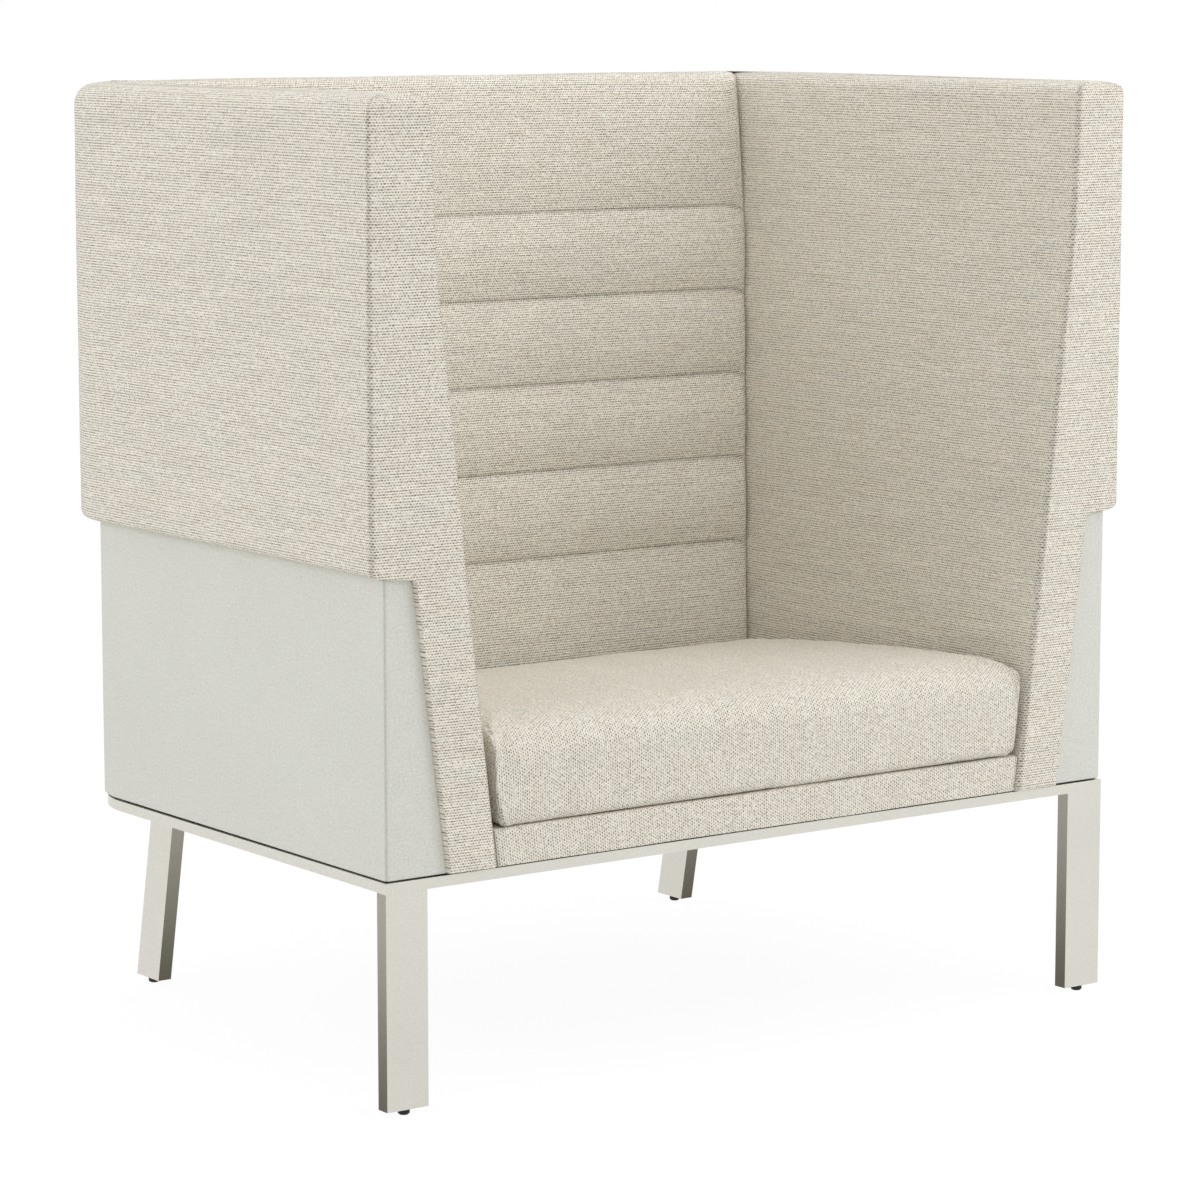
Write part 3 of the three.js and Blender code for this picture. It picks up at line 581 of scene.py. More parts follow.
# Wings and arms; those that start with joint or hidden lie behind the pale shell and the back panel
wing = Facts(
    innerFront=-9.0, outerFront=-3.0, edge=6.0, corner=135.0, topOuter=27.0, topInner=17.0, topFront=12.0,
    bottomSide=10.0, bottomFront=5.0, footRound=2.5, lipDip=6.0, lipReach=60.0, faceCrown=1.6,
    facePower=0.7, topCrown=1.5, topSteep=6, wallRows=52, lowRows=34, roundRows=8, footRows=4,
    ledge=(0.66, 0.33, 0.0), ledgeStep=0.3, jointGap=0.3, jointOut=1, jointFront=14, jointBack=690.0,
    jointArc=40.0, jointTurn=5.0, hiddenBack=745.0, hiddenStep=4, cornerStep=4, endRound=2.0, endLow=0.3,
    arcs=(13, 1, 13, 29, 5, 1, 1),
    runs=((10, 1.5), (9, 1.5), (62, 1.5), (1, 1.0), (30, 1.0), (5, 1.0), (88, 1.5)),
    seam=Facts(depth=0.7, width=3.2, wave=0.35, waveLength=0.33))


def wingSkin():
    # Rows climb from the frame to the top. Below the wings the outer columns run back along the hidden joint
    # with the pale shell; a ledge then takes them out to the full width. Rounded edges draw every side of the
    # outline in by its own radius * (1 - cos a) while the points rise by radius * sin a.
    inCos, downSin = roundStages(wing.roundRows)
    footIn, footDown = roundStages(wing.footRows)
    counts = [wing.footRows, wing.lowRows, len(wing.ledge), wing.roundRows, wing.wallRows,
              wing.roundRows]
    total = sum(counts)
    start = np.cumsum([0] + counts)
    hidden, footInset, lowInset, topInset = np.zeros((4, total))
    hidden[:start[2]] = 1                          # 1 where the outer columns are on the hidden joint
    hidden[start[2]:start[3]] = wing.ledge
    footInset[:start[1]] = footIn[::-1]
    lowInset[:start[3]] = 1                        # share of the bottom radius still drawn in
    lowInset[start[3]:start[4]] = inCos[::-1]
    topInset[start[5]:] = inCos

    def blendTo(full, low):
        return full * (1 - hidden) + low * hidden

    # heights of the rows on a plain column, used for the sloping inner wall
    foot, wingFoot, top = body.foot, body.wingFoot, body.top
    rowZ = np.concatenate([
        foot + wing.footRound * footDown[::-1],
        np.linspace(foot + wing.footRound, wingFoot - 1, wing.lowRows + 1)[1:],
        wingFoot - wing.ledgeStep * np.arange(len(wing.ledge))[::-1],
        wingFoot + wing.bottomSide * downSin[::-1],
        inner(wingFoot + wing.bottomSide, top - wing.topOuter, wing.wallRows),
        top - wing.topInner * downSin])
    innerX = wallX(rowZ) + topInset * wing.topInner
    joint = splitX(np.minimum(rowZ, wingFoot)) - wing.jointGap
    front = topInset * wing.topFront + footInset * wing.footRound
    side = lowInset * wing.bottomSide + topInset * wing.topOuter
    half, back, corner = body.half, body.back, wing.corner
    cutIn = np.maximum(innerX - half + corner, 0)
    innerBack = np.minimum(back - body.panel, back - corner - wing.cornerStep + np.sqrt(
        np.maximum((corner - side) ** 2 - cutIn ** 2, 0)))
    slant = (wing.outerFront - wing.innerFront) * (joint - innerX) / (half - innerX)
    jointFront = wing.innerFront + slant + front
    fullFront = wing.outerFront + front + lowInset * wing.bottomFront
    hiddenBack = wing.hiddenBack
    hiddenIn = hiddenBack - wing.hiddenStep
    corners = outlineOf(
        total, (innerX, wing.innerFront + front), (joint, jointFront),
        (blendTo(half - side, joint + wing.jointOut), blendTo(fullFront, jointFront + wing.jointFront)),
        (blendTo(half - side, joint), blendTo(back - side, wing.jointBack)),
        (body.inward, blendTo(back - side, hiddenBack)),
        (body.inward, blendTo(back - body.panel, hiddenIn)), (innerX, blendTo(innerBack, hiddenIn)))
    radii = byRow(total, wing.edge, 0, blendTo(wing.edge, wing.jointArc),
                  blendTo(corner - side, wing.jointTurn), blendTo(wing.endRound, wing.endLow), 0, 0)
    rings, middle = roundedRings(corners, radii, wing.arcs, wing.runs)
    columns = rings.shape[1]
    # what each column belongs to: shares of front, side and inner wall, eased over the rounded corners
    isFront, isSide, isInner = np.zeros((3, columns))
    arc = wing.arcs[0]
    turn = np.linspace(0, 1, arc)
    bend = slice(middle[2] - arc // 2, middle[2] + arc // 2 + 1)
    end = slice(middle[4], middle[5])
    isInner[:arc], isFront[:arc] = 1 - turn, turn
    isFront[arc:bend.start] = 1
    isFront[bend], isSide[bend] = 1 - turn, turn
    isSide[bend.stop:middle[5]] = 1
    isInner[middle[5]:] = 1
    isInner[end] = np.linspace(0, 1, middle[5] - middle[4])
    isSide[end] = np.linspace(1, 0, middle[5] - middle[4])
    topRadius = isFront * wing.topFront + isSide * wing.topOuter + isInner * wing.topInner
    lip = np.interp(np.arange(columns), [0, middle[1], middle[2], middle[4], middle[5], columns],
                    [wing.lipDip, wing.lipDip, 0, 0, wing.lipDip, wing.lipDip])
    heights = np.repeat(rowZ[:, None], columns, 1)
    wallStart = wingFoot + wing.bottomSide
    wallShare = inner(0, 1, wing.wallRows)[:, None]
    heights[start[4]:start[5]] = wallStart + (top - topRadius - wallStart)[None] * wallShare
    heights[start[5]:] = top - topRadius[None] * downSin[:, None]
    lipEnd = wingFoot + wing.lipReach
    drop = np.interp(rowZ, [foot, wingFoot - wing.lipReach, wingFoot, lipEnd], [0, 1, 1, 0])
    heights -= lip[None] * drop[:, None] * (rowZ < lipEnd)[:, None]
    rings = np.concatenate([rings, heights[..., None]], -1)
    # the front face is a little full between its seams
    faceShare = np.zeros(columns)
    faceShare[middle[0]:middle[2] + 1] = swell(middle[2] - middle[0] + 1) ** wing.facePower
    beyond = hidden[:, None] * (np.arange(columns) > middle[1])[None]
    rings[..., 1] -= faceShare[None] * wing.faceCrown * (1 - beyond)
    sides = [between(rings, middle[a], middle[b]) for a, b in ((2, 4), (4, 5), (5, 0), (0, 2))]
    sidePart, endPart, innerPart, frontPart = sides
    across = runLength(frontPart, 1)
    frontSeam = np.minimum(across, across[:, -1:] - across)
    sideRun = runLength(sidePart, 1)
    fixedRun = sideRun[start[4]]
    sideV = np.concatenate([sidePart[:start[3], :, 2], wingFoot + runLength(sidePart[start[3]:], 0)], 0)
    sideSeam = np.minimum(sideRun, sideRun[:, -1:] - sideRun)
    innerRun = runLength(innerPart, 1)

    def climb(part):
        # heights up to the top rounding, then the distance travelled over it
        last = start[5] - 1
        return np.concatenate([part[:last, :, 2], part[last, :, 2][None] + runLength(part[last:], 0)], 0)

    topPatch, footPatch = capOf(sides, -1), capOf(sides, 0)
    rows, wide = topPatch.shape[:2]
    crown = swell(rows)[:, None] * np.minimum(1, swell(wide) * wing.topSteep)[None]
    topPatch[..., 2] += wing.topCrown * crown
    return [patchOf(frontPart, frontPart[..., 0], climb(frontPart), frontSeam),
            patchOf(sidePart, fixedRun, sideV, sideSeam),
            patchOf(endPart, endPart[..., 1], endPart[..., 2]),
            patchOf(innerPart, innerPart[..., 1], climb(innerPart), innerRun[:, -1:] - innerRun),
            patchOf(topPatch, fixedRun, sideV[-1][None] + runLength(topPatch, 0)),
            patchOf(footPatch, fixedRun, runLength(footPatch, 0))]


for side, mirror in (("right", False), ("left", True)):
    panel = skinObject(f"upholstered_side_{side}", wingSkin(), woven, mirror)
    sinkSeams(panel, **wing.seam)
    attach(panel, "chair")
    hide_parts(f"side_panel_{side}")


# Plain slabs with rounded edges
def slabSkin(slab, half, y0, y1, z0, z1, ends=0):
    # A face at y0, an end, a face at y1 and the other end; low and high hold their rounding at the foot and
    # the top. The ends lean in with their rounding where ends is 1.
    rows, count, arc = slab.rows, slab.round, slab.arc
    foot, head = roundShares(rows, count)
    low, high = np.array(slab.low), np.array(slab.high)
    inset = (foot[:, None] * low[None] + head[:, None] * high[None]).T
    way = math.copysign(1, y1 - y0)
    x0, x1 = way * (ends * inset[3] - half), way * (half - ends * inset[1])
    y0, y1 = y0 + way * inset[0], y1 - way * inset[2]
    corners = outlineOf(len(foot), (x0, y0), (x1, y0), (x1, y1), (x0, y1))
    rings, middle = roundedRings(corners, np.full((len(foot), 4), slab.edge), [arc] * 4, slab.runs * 2)
    columns = rings.shape[1]
    weights = np.zeros((4, columns))
    for i in range(4):
        a, b = middle[i], middle[(i + 1) % 4] + (columns if i == 3 else 0)
        weights[i, np.arange(a, b) % columns] = 1
    stretch = np.ones(arc) / arc
    weights = np.stack([np.convolve(np.concatenate([w[-arc:], w, w[:arc]]), stretch, "same")[arc:-arc]
                        for w in weights])
    heights = wallHeights(rows, count, z0, z1, low @ weights, high @ weights)
    return slabPatches(np.concatenate([rings, heights[..., None]], -1), middle)


def slabPatches(rings, middle):
    sides = fourSides(rings, middle)
    patches = []
    for side in sides:
        run = runLength(side, 1)
        patches.append(patchOf(side, run, runLength(side, 0), np.minimum(run, run[:, -1:] - run)))
    top, foot = capOf(sides, -1), capOf(sides, 0)
    u, v = np.moveaxis(patches[0]["uv"], -1, 0) * 1000
    return patches + [patchOf(top, u[-1], v[-1] + runLength(top, 0)),
                      patchOf(foot, u[0], -runLength(foot, 0))]


# Outer back panel between the two rear corners
backPanel = Facts(
    half=458.8, edge=1.6, low=(10.0, 5, 1, 5), high=(27.0, 10, 1, 10), arc=7, runs=((90, 1.4), (6, 1.0)),
    rows=50, round=8, seam=Facts(depth=0.4, width=1.2, wave=0.35, waveLength=0.41))

patches = slabSkin(backPanel, backPanel.half, body.back, body.back - body.panel, body.wingFoot,
                   body.top)
outerBack = skinObject("upholstered_back", patches, woven)
sinkSeams(outerBack, **backPanel.seam)
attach(outerBack, "chair")
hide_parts("back_panel")


# Pale lower shell, one wrap round three sides
shell = Facts(
    corner=124.0, frontEdge=5.0, inEdge=1.2, edge=2.0, topEdge=1.5, innerTop=13.0, rows=34, round=7,
    gap=0.4, bend=477.0, bendShare=0.87, footBack=2, topBack=1.5, power=3, side=(56, 1.4), back=(80, 1.0),
    strip=(12, 1.4), innerSide=(54, 1.3), innerBend=(20, 1.0), innerBack=(110, 1.0), sharp=1.3,
    arcs=(5, 9, 25, 25, 9, 5, 1, 1, 1, 1), seam=Facts(depth=0.5, width=1.6, wave=0.25, waveLength=0.43))


def shellSkin():
    # An outer wrap and a hidden inner one, matched point for point, joined by the two slanted front strips
    # and by the rounded foot and top; the strips' inner edges lean out with the height.
    rows, count = shell.rows, shell.round
    foot, head = roundShares(rows, count)
    total = len(foot)
    wall = (rows, count, body.foot, body.wingFoot - shell.gap, shell.edge)
    rowZ = wallHeights(*wall, shell.innerTop)[:, 0]
    outerIn = foot * shell.edge + head * shell.topEdge
    innerX = splitX(rowZ) + head * shell.innerTop
    innerBack, bend = body.shellBack - body.panel, shell.bend
    bendY = innerBack - (innerX - bend) * shell.bendShare
    half, back = body.shellHalf - outerIn, body.shellBack - outerIn
    front = body.shellFront + foot * shell.footBack + head * shell.topBack
    corners = outlineOf(total, (innerX, front), (half, front), (half, back), (-half, back), (-half, front),
                        (-innerX, front), (-innerX, bendY), (-bend, innerBack), (bend, innerBack),
                        (innerX, bendY))
    turn, edge, inEdge = shell.corner - outerIn, shell.frontEdge, shell.inEdge
    radii = byRow(total, inEdge, edge, turn, turn, edge, inEdge, 0, 0, 0, 0)
    arcs, side, strip, innerBend = shell.arcs, shell.side, shell.strip, shell.innerBend
    # the last run takes as many columns as the inner wrap still lacks to match the outer one
    outerColumns = arcs[1] // 2 * 2 + 2 + 2 * side[0] + arcs[2] + shell.back[0] + arcs[3]
    placed = arcs[5] // 2 * 2 + 2 + shell.innerSide[0] + 2 * innerBend[0] + shell.innerBack[0] + 4
    runs = [strip, side, shell.back, side, strip, shell.innerSide, innerBend, shell.innerBack, innerBend,
            (outerColumns - placed, shell.sharp)]
    rings, middle = roundedRings(corners, radii, arcs, runs)
    inside = np.zeros(rings.shape[1])
    inside[middle[5]:] = 1
    inside[:middle[0]] = 1
    inside[middle[0]:middle[1]] = np.linspace(1, 0, middle[1] - middle[0]) ** shell.power
    inside[middle[4]:middle[5]] = np.linspace(0, 1, middle[5] - middle[4]) ** shell.power
    heights = wallHeights(*wall, inside * shell.innerTop + (1 - inside) * shell.topEdge)
    rings = np.concatenate([rings, heights[..., None]], -1)
    sides = [between(rings, middle[a], middle[b]) for a, b in ((1, 4), (4, 5), (5, 0), (0, 1))]
    outer, stripLeft, hidden, stripRight = sides
    run = runLength(outer, 1)[total // 2]
    runLeft, runRight = runLength(stripLeft, 1), runLength(stripRight, 1)
    top, floor = capOf(sides, -1), capOf(sides, 0)
    return [patchOf(outer, run, outer[..., 2], np.minimum(run, run[-1] - run)),
            patchOf(hidden, runLength(hidden, 1), hidden[..., 2]),
            patchOf(stripRight, stripRight[..., 0], stripRight[..., 2], runRight[:, -1:] - runRight),
            patchOf(stripLeft, stripLeft[..., 0], stripLeft[..., 2], runLeft),
            patchOf(top, run, runLength(top, 0)), patchOf(floor, run, runLength(floor, 0))]


lowerShell = skinObject("lower_shell_wrap", shellSkin(), plain)
sinkSeams(lowerShell, **shell.seam)
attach(lowerShell, "chair")
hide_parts("lower_shell_right", "lower_shell_left", "lower_shell_back")
print("chair: wings, back and lower shell made")


# Channelled backrest
channels = Facts(
    first=566.0, spacing=119.5, count=5, crest=6.0, valley=4.6, sharp=2.0, power=0.85, dip=9.0,
    dipReach=36.0, edgePull=4.5, edgeReach=7.0, edgeFade=7.0, thick=34.0, gap=0.6, rows=210, under=20,
    over=40, wrapTo=774.6, boardTop=1216.0, boardStep=0.6, topRound=12.0, round=7, faceEdge=9.0,
    rearEdge=1.0, near=(0.5, 1.2, 2.2, 3.4, 5, 7), clearance=8.5, arcs=(9, 9, 3, 3),
    runs=((118, 1.5), (8, 1.0), (124, 1.2), (8, 1.0)), seamWide=1.2, topCrown=2.0, topPower=0.7,
    topSteep=8,
    pucker=Facts(depth=0.55, length=31.0, bend=7, bendLength=83.0, turn=2.1, at=0.45, spread=0.05),
    seam=Facts(depth=1.0, width=1.8, wave=0.3, waveLength=0.29))


def backrestSkin():
    # The face lies at the raked plane less a crest between the seams, (1 - |2t - 1|^sharp)^power across each
    # channel, more a pull-in beside the walls. Seams sink near the walls, and the top wraps over the board.
    inCos, downSin = roundStages(channels.round)
    seams = channels.first + channels.spacing * np.arange(channels.count)
    edges = np.concatenate([[body.foot - channels.under], seams, [body.top + channels.over]])
    even = np.linspace(body.foot, body.top - channels.topRound, channels.rows)
    steps = np.array(channels.near)
    near = (seams[:, None] + np.concatenate([-steps[::-1], [0], steps])[None]).ravel()
    keep = even[np.min(np.abs(even[:, None] - seams[None]), 1) > channels.clearance]
    boardTop = channels.boardTop
    wallZ = np.sort(np.concatenate([keep, near, [boardTop - channels.boardStep, boardTop]]))
    rowZ = np.concatenate([wallZ, body.top - channels.topRound * downSin[1:]])
    topIn = np.concatenate([np.zeros(len(wallZ)), inCos[1:] * channels.topRound])
    total = len(rowZ)
    half = wallX(rowZ) - channels.gap
    rear = np.where(rowZ < boardTop - channels.boardStep / 2, backY(rowZ) + channels.thick, channels.wrapTo)
    face = backY(rowZ) + topIn
    corners = outlineOf(total, (-half, face), (half, face), (half, rear), (-half, rear))
    edge, rearEdge = channels.faceEdge, channels.rearEdge
    rings, middle = roundedRings(corners, byRow(total, edge, edge, rearEdge, rearEdge), channels.arcs,
                                 channels.runs)
    x, y = rings[..., 0], rings[..., 1]
    heights = np.repeat(rowZ[:, None], rings.shape[1], 1)
    fromWall = half[:, None] - np.abs(x)
    dip = channels.dip * np.clip(1 - fromWall / channels.dipReach, 0, 1) ** 2
    onFace = np.clip(1 - (y - face[:, None]) / edge, 0, 1)
    asked = heights + dip
    slot = np.clip(np.searchsorted(edges, asked) - 1, 0, len(edges) - 2)
    t = (asked - edges[slot]) / (edges[slot + 1] - edges[slot])
    full = np.clip(1 - np.abs(2 * t - 1) ** channels.sharp, 0, 1) ** channels.power
    relief = channels.valley - (channels.valley + channels.crest) * full
    # small gathers along each seam, strongest where the cloth turns in
    pucker = channels.pucker
    phase = np.sin(2 * math.pi * x / pucker.length + pucker.bend * np.sin(x / pucker.bendLength)
                   + slot * pucker.turn)
    relief += pucker.depth * phase * np.exp(-((1 - full) - pucker.at) ** 2 / pucker.spread) * (slot > 0)
    relief *= 1 - np.exp(-fromWall / channels.edgeFade)
    relief += channels.edgePull * np.exp(-fromWall / channels.edgeReach)
    rings = np.stack([x, y + relief * onFace, heights], -1)
    sides = fourSides(rings, middle)
    nearest = np.min(np.abs(asked[..., None] - seams[None, None]), -1) + channels.seamWide
    seamPart = between(nearest[..., None], middle[0], middle[1])[..., 0]
    climb = runLength(sides[0], 0)
    top, foot = capOf(sides, -1), capOf(sides, 0)
    bulge = swell(top.shape[0])[:, None] ** channels.topPower
    top[..., 2] += channels.topCrown * bulge * np.minimum(1, channels.topSteep * swell(top.shape[1]))[None]
    patches = [patchOf(sides[0], sides[0][..., 0], climb, seamPart)]
    patches += [patchOf(side, runLength(side, 1), runLength(side, 0)) for side in sides[1:]]
    return patches + [patchOf(top, top[..., 0], climb[-1] + runLength(top, 0)),
                      patchOf(foot, foot[..., 0], -runLength(foot, 0))]


backrest = skinObject("channelled_backrest", backrestSkin(), woven)
sinkSeams(backrest, **channels.seam)
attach(backrest, "chair")
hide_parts("backrest_pad")
print("chair: backrest made")


# Seat
seat = Facts(
    front=-18.0, back=566.0, foot=341.4, height=115.0, arch=9.0, archPlace=200.0, archReach=300.0,
    edge=8.0, low=[13.0] * 4, high=[36.0, 12.0, 13.0, 12.0], inset=1.2, crown=3.0, crownHalf=428,
    crownPlace=275, crownReach=290, crownPower=0.4, rows=12, round=9, arc=11, runs=((96, 1.2), (64, 1.2)),
    seamWide=1.6, level=400.0, wallGap=1.5, cap=11.0, leastWallGap=1.0, backGap=5.5, frontStop=-20.5,
    frames=20, seam=Facts(depth=-0.5, width=2.5, wave=0.5, waveLength=0.21),
    deck=Facts(front=48.6, frontTop=340.6, back=566.0, backTop=310.3, gap=0.8),
    cloth=Facts(
        quality=6, mass=0.3, tension_stiffness=12, compression_stiffness=12, shear_stiffness=4,
        bending_stiffness=0.6, use_pressure=True, uniform_pressure_force=4.0))


def seatFoot(y):
    # the underside of the cushion lies over the front rail's cover and over the sloping deck behind it
    deck = seat.deck
    deckTop = np.interp(y, [deck.front, deck.back], [deck.frontTop, deck.backTop])
    return np.where(y < deck.front, seat.foot, deckTop + deck.gap)


def cushionPatches():
    # A rounded slab whose levels are stretched between the sloping deck and the cushion's arched top
    half = wallX(seat.level) - seat.wallGap
    patches = slabSkin(seat, half - seat.inset, seat.front + seat.inset, seat.back - seat.inset,
                       0, seat.height, 1)
    for patch in patches:
        x, y, z = np.moveaxis(patch["points"], -1, 0)
        share = z / seat.height
        height = seat.height + seat.arch * (1 - ((y - seat.archPlace) / seat.archReach) ** 2)
        edgeX = np.clip(1 - (np.abs(x) / seat.crownHalf) ** 4, 0, 1)
        edgeY = np.clip(1 - np.abs(y - seat.crownPlace) / seat.crownReach, 0, 1) ** seat.crownPower
        z = seatFoot(y) + share * height + seat.crown * edgeX * edgeY * np.clip(share * 2 - 1, 0, 1) ** 2
        x = x * ((wallX(z) - seat.wallGap) / half)
        patch["points"] = np.stack([x, y, z], -1)
        patch["seam"] = patch["seam"] + seat.seamWide
    front = patches[0]
    front["uv"] = np.stack([front["points"][..., 0] / 1000, front["uv"][..., 1]], -1)
    return patches


def clampCushion(thing, rest, reach):
    # no point moves further than reach, sinks into the deck or passes the walls and the backrest
    place = readPoints(thing)
    move = place - rest
    size = np.linalg.norm(move, axis=1, keepdims=True)
    place = rest + move * np.minimum(1, reach / 1000 / np.maximum(size, 1e-9))
    y = place[:, 1] * 1000 - depthShift
    z = np.maximum(place[:, 2] * 1000, seatFoot(y))
    wall = wallX(z) - seat.leastWallGap
    x = np.clip(place[:, 0] * 1000, -wall, wall)
    y = np.clip(y, seat.frontStop, backY(z) - seat.backGap) + depthShift
    writePoints(thing, np.stack([x, y, z], -1) / 1000)


def inflate(thing, frames):
    # a closed cloth blown up by an even pressure without gravity, kept as a plain mesh
    blown = thing.modifiers.new("Cloth", "CLOTH")
    for key, value in seat.cloth.items():
        setattr(blown.settings, key, value)
    blown.settings.effector_weights.gravity = 0
    blown.collision_settings.use_collision = False
    blown.point_cache.frame_start = 1
    blown.point_cache.frame_end = frames
    for step in range(1, frames + 1):
        bpy.context.scene.frame_set(step)
    graph = bpy.context.evaluated_depsgraph_get()
    shaped = bpy.data.meshes.new_from_object(thing.evaluated_get(graph), preserve_all_data_layers=True,
                                             depsgraph=graph)
    old = thing.data
    thing.modifiers.clear()
    thing.data = shaped
    bpy.data.meshes.remove(old)
    bpy.context.scene.frame_set(1)


cushion = skinObject("seat_cushion_stuffed", cushionPatches(), wovenTurned)
restPlace = readPoints(cushion)
inflate(cushion, seat.frames)
clampCushion(cushion, restPlace, seat.cap)
sinkSeams(cushion, **seat.seam)
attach(cushion, "chair")
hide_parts("seat_cushion")
print("chair: cushion made")

# Covered front rail under the cushion
railCover = Facts(
    half=420.2, front=-4.5, back=47.6, top=340.2, edge=2.0, low=[1.5, 0.5, 0.5, 0.5],
    high=[5.0, 0.5, 0.5, 0.5], arc=5, runs=((110, 1.2), (10, 1.0)), rows=8, round=5, wallGap=0.9,
    seam=Facts(depth=0.5, width=1.5, wave=0.3, waveLength=0.19))

patches = slabSkin(railCover, railCover.half, railCover.front, railCover.back, body.foot,
                   railCover.top)
for patch in patches:
    # the ends lean with the walls
    patch["points"][..., 0] *= (wallX(patch["points"][..., 2]) - railCover.wallGap) / railCover.half
cover = skinObject("covered_front_rail", patches, wovenTurned)
sinkSeams(cover, **railCover.seam)
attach(cover, "chair")
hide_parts("seat_rail_cover")


# Steel base, welded into one piece
base = Facts(
    half=580.0, depth=775.0, rail=60.0, low=277.5, high=291.0, corner=132.0, bearer=(405.0, 465.0),
    cross=(540.0, 640.0), legFoot=7.5, frontLeg=(520.0, 580.0, 0.0, 20.0),
    rearLeg=(439.0, 459.0, 708.0, 766.0), rake=53.5, legTop=277.2, legIntoPlate=9.5, bush=6.3,
    bushUnder=3, bushDeep=34, bushSides=24, feet=((550.0, 10.0), (449.0, 790.5)), overrun=5,
    cornerSteps=33, pocketSteps=17, weld=2e-5, flat=0.5, edge=0.9, edgeSteps=3, edgeAngle=25)


def prism(name, points, z0, z1, slide=0.0):
    # an outline drawn at z0 and again at z1, moved back by slide, with flat ends
    count = len(points)
    flat = np.asarray(points, float)
    low = np.column_stack([flat, np.full(count, z0)])
    high = np.column_stack([flat + [0.0, slide], np.full(count, z1)])
    place = (np.concatenate([low, high]) + [0, depthShift, 0]) / 1000
    ring = np.arange(count)
    walls = np.stack([ring, (ring + 1) % count, (ring + 1) % count + count, ring + count], -1)
    mesh = bpy.data.meshes.new(name)
    mesh.from_pydata(place.tolist(), [], walls.tolist() + [ring[::-1].tolist(), (ring + count).tolist()])
    return addObject(name, mesh)


def arcPoints(x, y, radius, start, end, count):
    angle = np.radians(np.linspace(start, end, count))
    return np.column_stack([x + radius * np.cos(angle), y + radius * np.sin(angle)])


def combine(thing, others, operation):
    for other in others:
        cut = thing.modifiers.new("Join", "BOOLEAN")
        cut.operation = operation
        cut.solver = "EXACT"
        cut.object = other
        graph = bpy.context.evaluated_depsgraph_get()
        shaped = bpy.data.meshes.new_from_object(thing.evaluated_get(graph))
        thing.modifiers.clear()
        thing.data = shaped
        bpy.data.objects.remove(other)


def box4(x0, x1, y0, y1):
    return [(x0, y0), (x1, y0), (x1, y1), (x0, y1)]


def steelBase():
    half, depth, radius, rail = base.half, base.depth, base.corner, base.rail
    x, y = half - radius, depth - radius
    steps = base.cornerSteps
    outline = np.concatenate([[(-half, 0), (half, 0)], arcPoints(x, y, radius, 0, 90, steps),
                              arcPoints(-x, y, radius, 90, 180, steps)])
    plate = prism("welded_steel_base", outline, base.low, base.high)
    near, far = base.bearer
    reach = math.degrees(math.acos((far - x) / (radius - rail)))
    pocket = np.concatenate([[(far, rail), (half - rail, rail)],
                             arcPoints(x, y, radius - rail, 0, reach, base.pocketSteps)])
    outlines = [pocket, pocket[::-1] * [-1, 1], box4(-near, near, rail, base.cross[0]),
                box4(-near, near, base.cross[1], depth - rail)]
    z0, z1 = base.low - base.overrun, base.high + base.overrun
    combine(plate, [prism("pocket", outline, z0, z1) for outline in outlines], "DIFFERENCE")
    foot, top = base.legFoot, base.low + base.legIntoPlate
    rake = base.rake
    slide = -rake * ((top - foot) / (base.legTop - foot))
    x0, x1, y0, y1 = base.frontLeg
    legs = [prism("leg", box4(x0, x1, y0, y1), foot, top), prism("leg", box4(-x1, -x0, y0, y1), foot, top)]
    x0, x1, y0, y1 = base.rearLeg
    legs += [prism("leg", box4(left, right, y0 + rake, y1 + rake), foot, top, slide)
             for left, right in ((x0, x1), (-x1, -x0))]
    combine(plate, legs, "UNION")
    sides = base.bushSides
    z0, z1 = foot - base.bushUnder, foot + base.bushDeep
    combine(plate, [prism("bore", arcPoints(s * x, y, base.bush, 0, 360 - 360 / sides, sides), z0, z1)
                    for x, y in base.feet for s in (1, -1)], "DIFFERENCE")
    return plate


frameOfSteel = steelBase()
cleanMesh(frameOfSteel.data, base.weld, math.radians(base.flat))
frameOfSteel.data.materials.clear()
frameOfSteel.data.materials.append(steel)
bevel = frameOfSteel.modifiers.new("Edge", "BEVEL")
bevel.width = base.edge / 1000
bevel.segments = base.edgeSteps
bevel.limit_method = "ANGLE"
bevel.angle_limit = math.radians(base.edgeAngle)
bevel.harden_normals = True
frameOfSteel.data.shade_smooth()
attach(frameOfSteel, "chair")
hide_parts("front_rail", "rear_rail", "side_rail_right", "side_rail_left", "bearer_right",
            "bearer_left", "cross_bearer", "front_leg_right", "front_leg_left", "rear_leg_right",
            "rear_leg_left")
print("chair: steel base welded,", len(frameOfSteel.data.polygons), "faces")

# Finishes of the pieces that stay as built
nodeFinish = {"strip": rubber, "foot_pad": glide, "foot_stem": zinc, "leg_bush": zinc, "bolt": zinc,
              "insert": zinc, "side_core": sidePly, "back_board": boardPly, "back_rib": sidePly,
              "seat_deck": deckPly, "seat_timber": pine, "dust_cover": lining}
for name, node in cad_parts.items():
    for start, material in nodeFinish.items():
        if name.startswith(start):
            for place in node.material_slots:
                place.material = material

# Floor, light and camera; each box has its place, the height it looks at, its width, length and power
studio = Facts(
    tint=(0.990, 0.994, 1.020), world=0.80, floorReach=60.0, floorKeep=0.10, floorGlow=1.04,
    floorGrey=(0.80, 0.80, 0.80, 1), white=(1, 1, 1, 1),
    boxes=Facts(
        overhead_softbox=((0.3, -0.6, 3.6), 0.4, 3.2, 3.2, 31.0),
        right_softbox=((3.2, -3.4, 2.4), 0.6, 2.4, 2.4, 50.0),
        front_softbox=((0.2, -4.8, 1.7), 0.6, 2.6, 2.0, 6.0),
        left_softbox=((-4.2, 0.6, 2.0), 0.6, 2.4, 2.4, 36.0)))


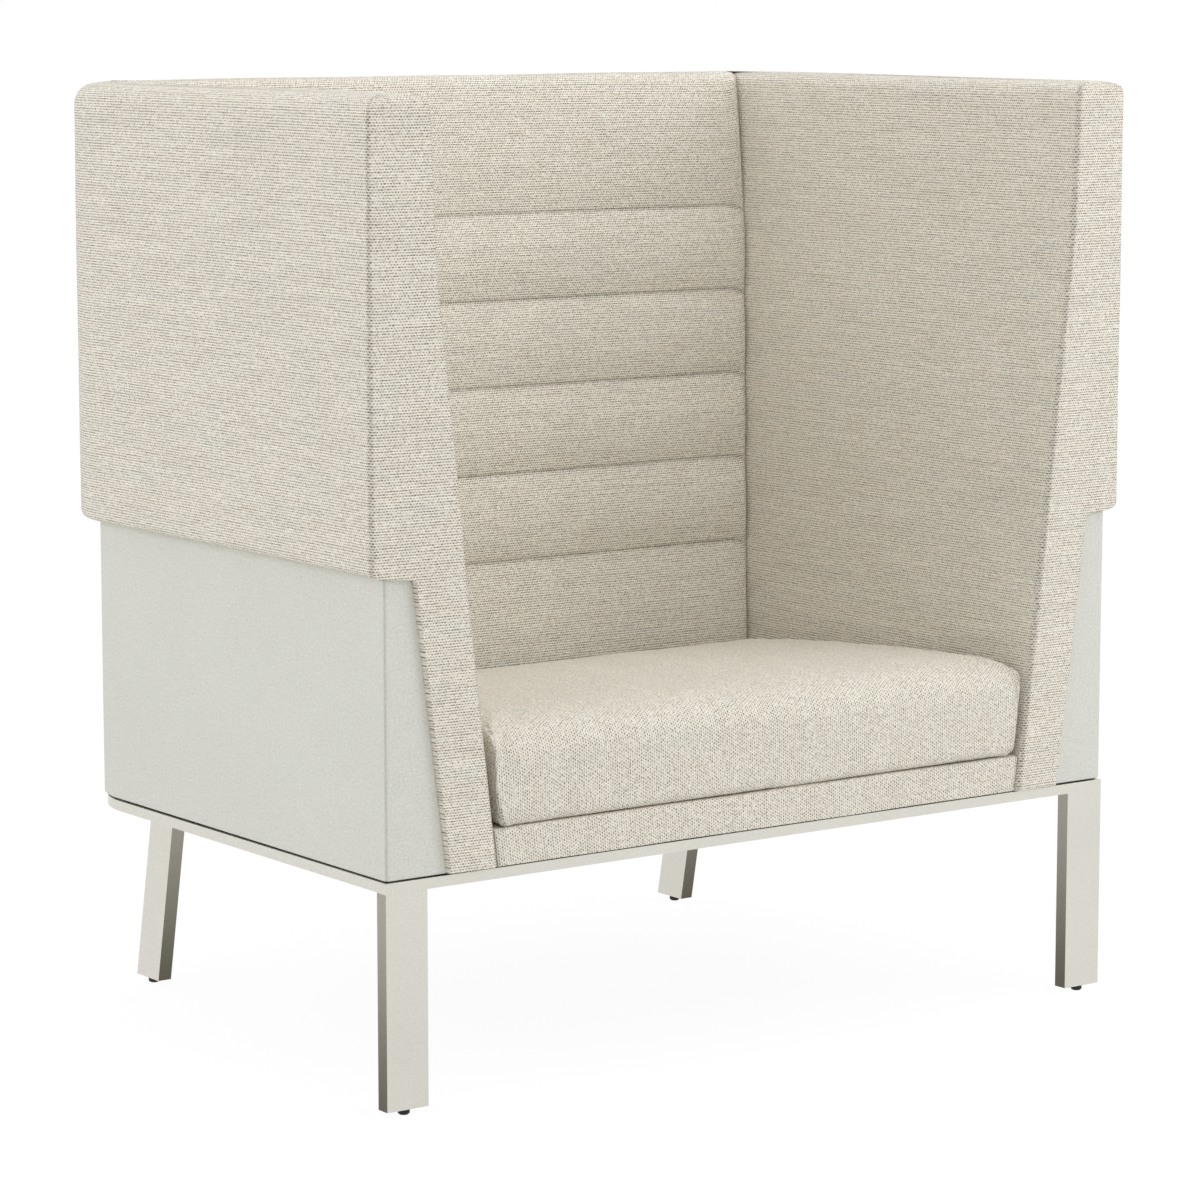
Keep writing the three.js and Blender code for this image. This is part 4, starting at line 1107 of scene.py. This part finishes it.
def showsWhite(nodes):
    camera, glossy, through = (nodes.put("ShaderNodeLightPath", {}, {}, out=name) for name in
                               ("Is Camera Ray", "Is Glossy Ray", "Is Transmission Ray"))
    return camera.calc("MAXIMUM", glossy).calc("MAXIMUM", through)


def makeFloor():
    reach = studio.floorReach
    mesh = bpy.data.meshes.new("studio_floor")
    mesh.from_pydata([(x, y, 0) for x, y in box4(-reach, reach, -reach, reach)], [], [(0, 1, 2, 3)])
    paint = Finish("Studio floor", Roughness=0.9, Base_Color=studio.floorGrey)
    white = paint.put("ShaderNodeEmission", {}, {"Color": studio.white, "Strength": studio.floorGlow})
    seen = showsWhite(paint) * (1 - studio.floorKeep)
    plainPaint = Wire(paint, paint.surface.outputs[0])
    shown = paint.put("ShaderNodeMixShader", {}, {0: seen, 1: plainPaint, 2: white})
    paint.tree.links.new(shown.socket, paint.out.inputs[0])
    mesh.materials.append(paint.material)
    floor = addObject("studio_floor", mesh)


def makeWorld():
    world = bpy.data.worlds.new("Studio")
    bpy.context.scene.world = world
    world.use_nodes = True
    sky = Nodes(world.node_tree)
    out = sky.tree.nodes.new("ShaderNodeOutputWorld")
    light = sky.put("ShaderNodeBackground", {}, {"Color": (*studio.tint, 1), "Strength": studio.world})
    white = sky.put("ShaderNodeBackground", {}, {"Color": studio.white, "Strength": 1.0})
    shown = sky.put("ShaderNodeMixShader", {}, {0: showsWhite(sky), 1: light, 2: white})
    sky.tree.links.new(shown.socket, out.inputs[0])


def softBox(name, place, lookHeight, width, height, power):
    lamp = bpy.data.lights.new(name, "AREA")
    lamp.shape = "RECTANGLE"
    lamp.size, lamp.size_y = width, height
    lamp.energy = power
    lamp.color = studio.tint
    thing = addObject(name, lamp)
    thing.location = place
    x, y, z = np.array((0, 0, lookHeight)) - np.array(place)
    pitch = math.atan2(z, math.hypot(x, y))
    thing.rotation_euler = (math.pi / 2 + pitch, 0, -math.atan2(x, y))


makeFloor()
makeWorld()
for name, facts in studio.boxes.items():
    softBox(name, *facts)

view = Facts(
    place=(-3.3010, -4.5980, 1.3648), pitch=0.1448, yaw=0.6268, lens=127.17, sensor=36.0)
camera = bpy.data.cameras.new("Photo view")
camera.sensor_width = view.sensor
camera.lens = view.lens
cameraThing = addObject("photo_view", camera)
cameraThing.location = view.place
cameraThing.rotation_euler = (math.pi / 2 - view.pitch, 0, -view.yaw)
bpy.context.scene.camera = cameraThing
bpy.context.scene.view_settings.view_transform = "Standard"
print("chair: studio and camera set")
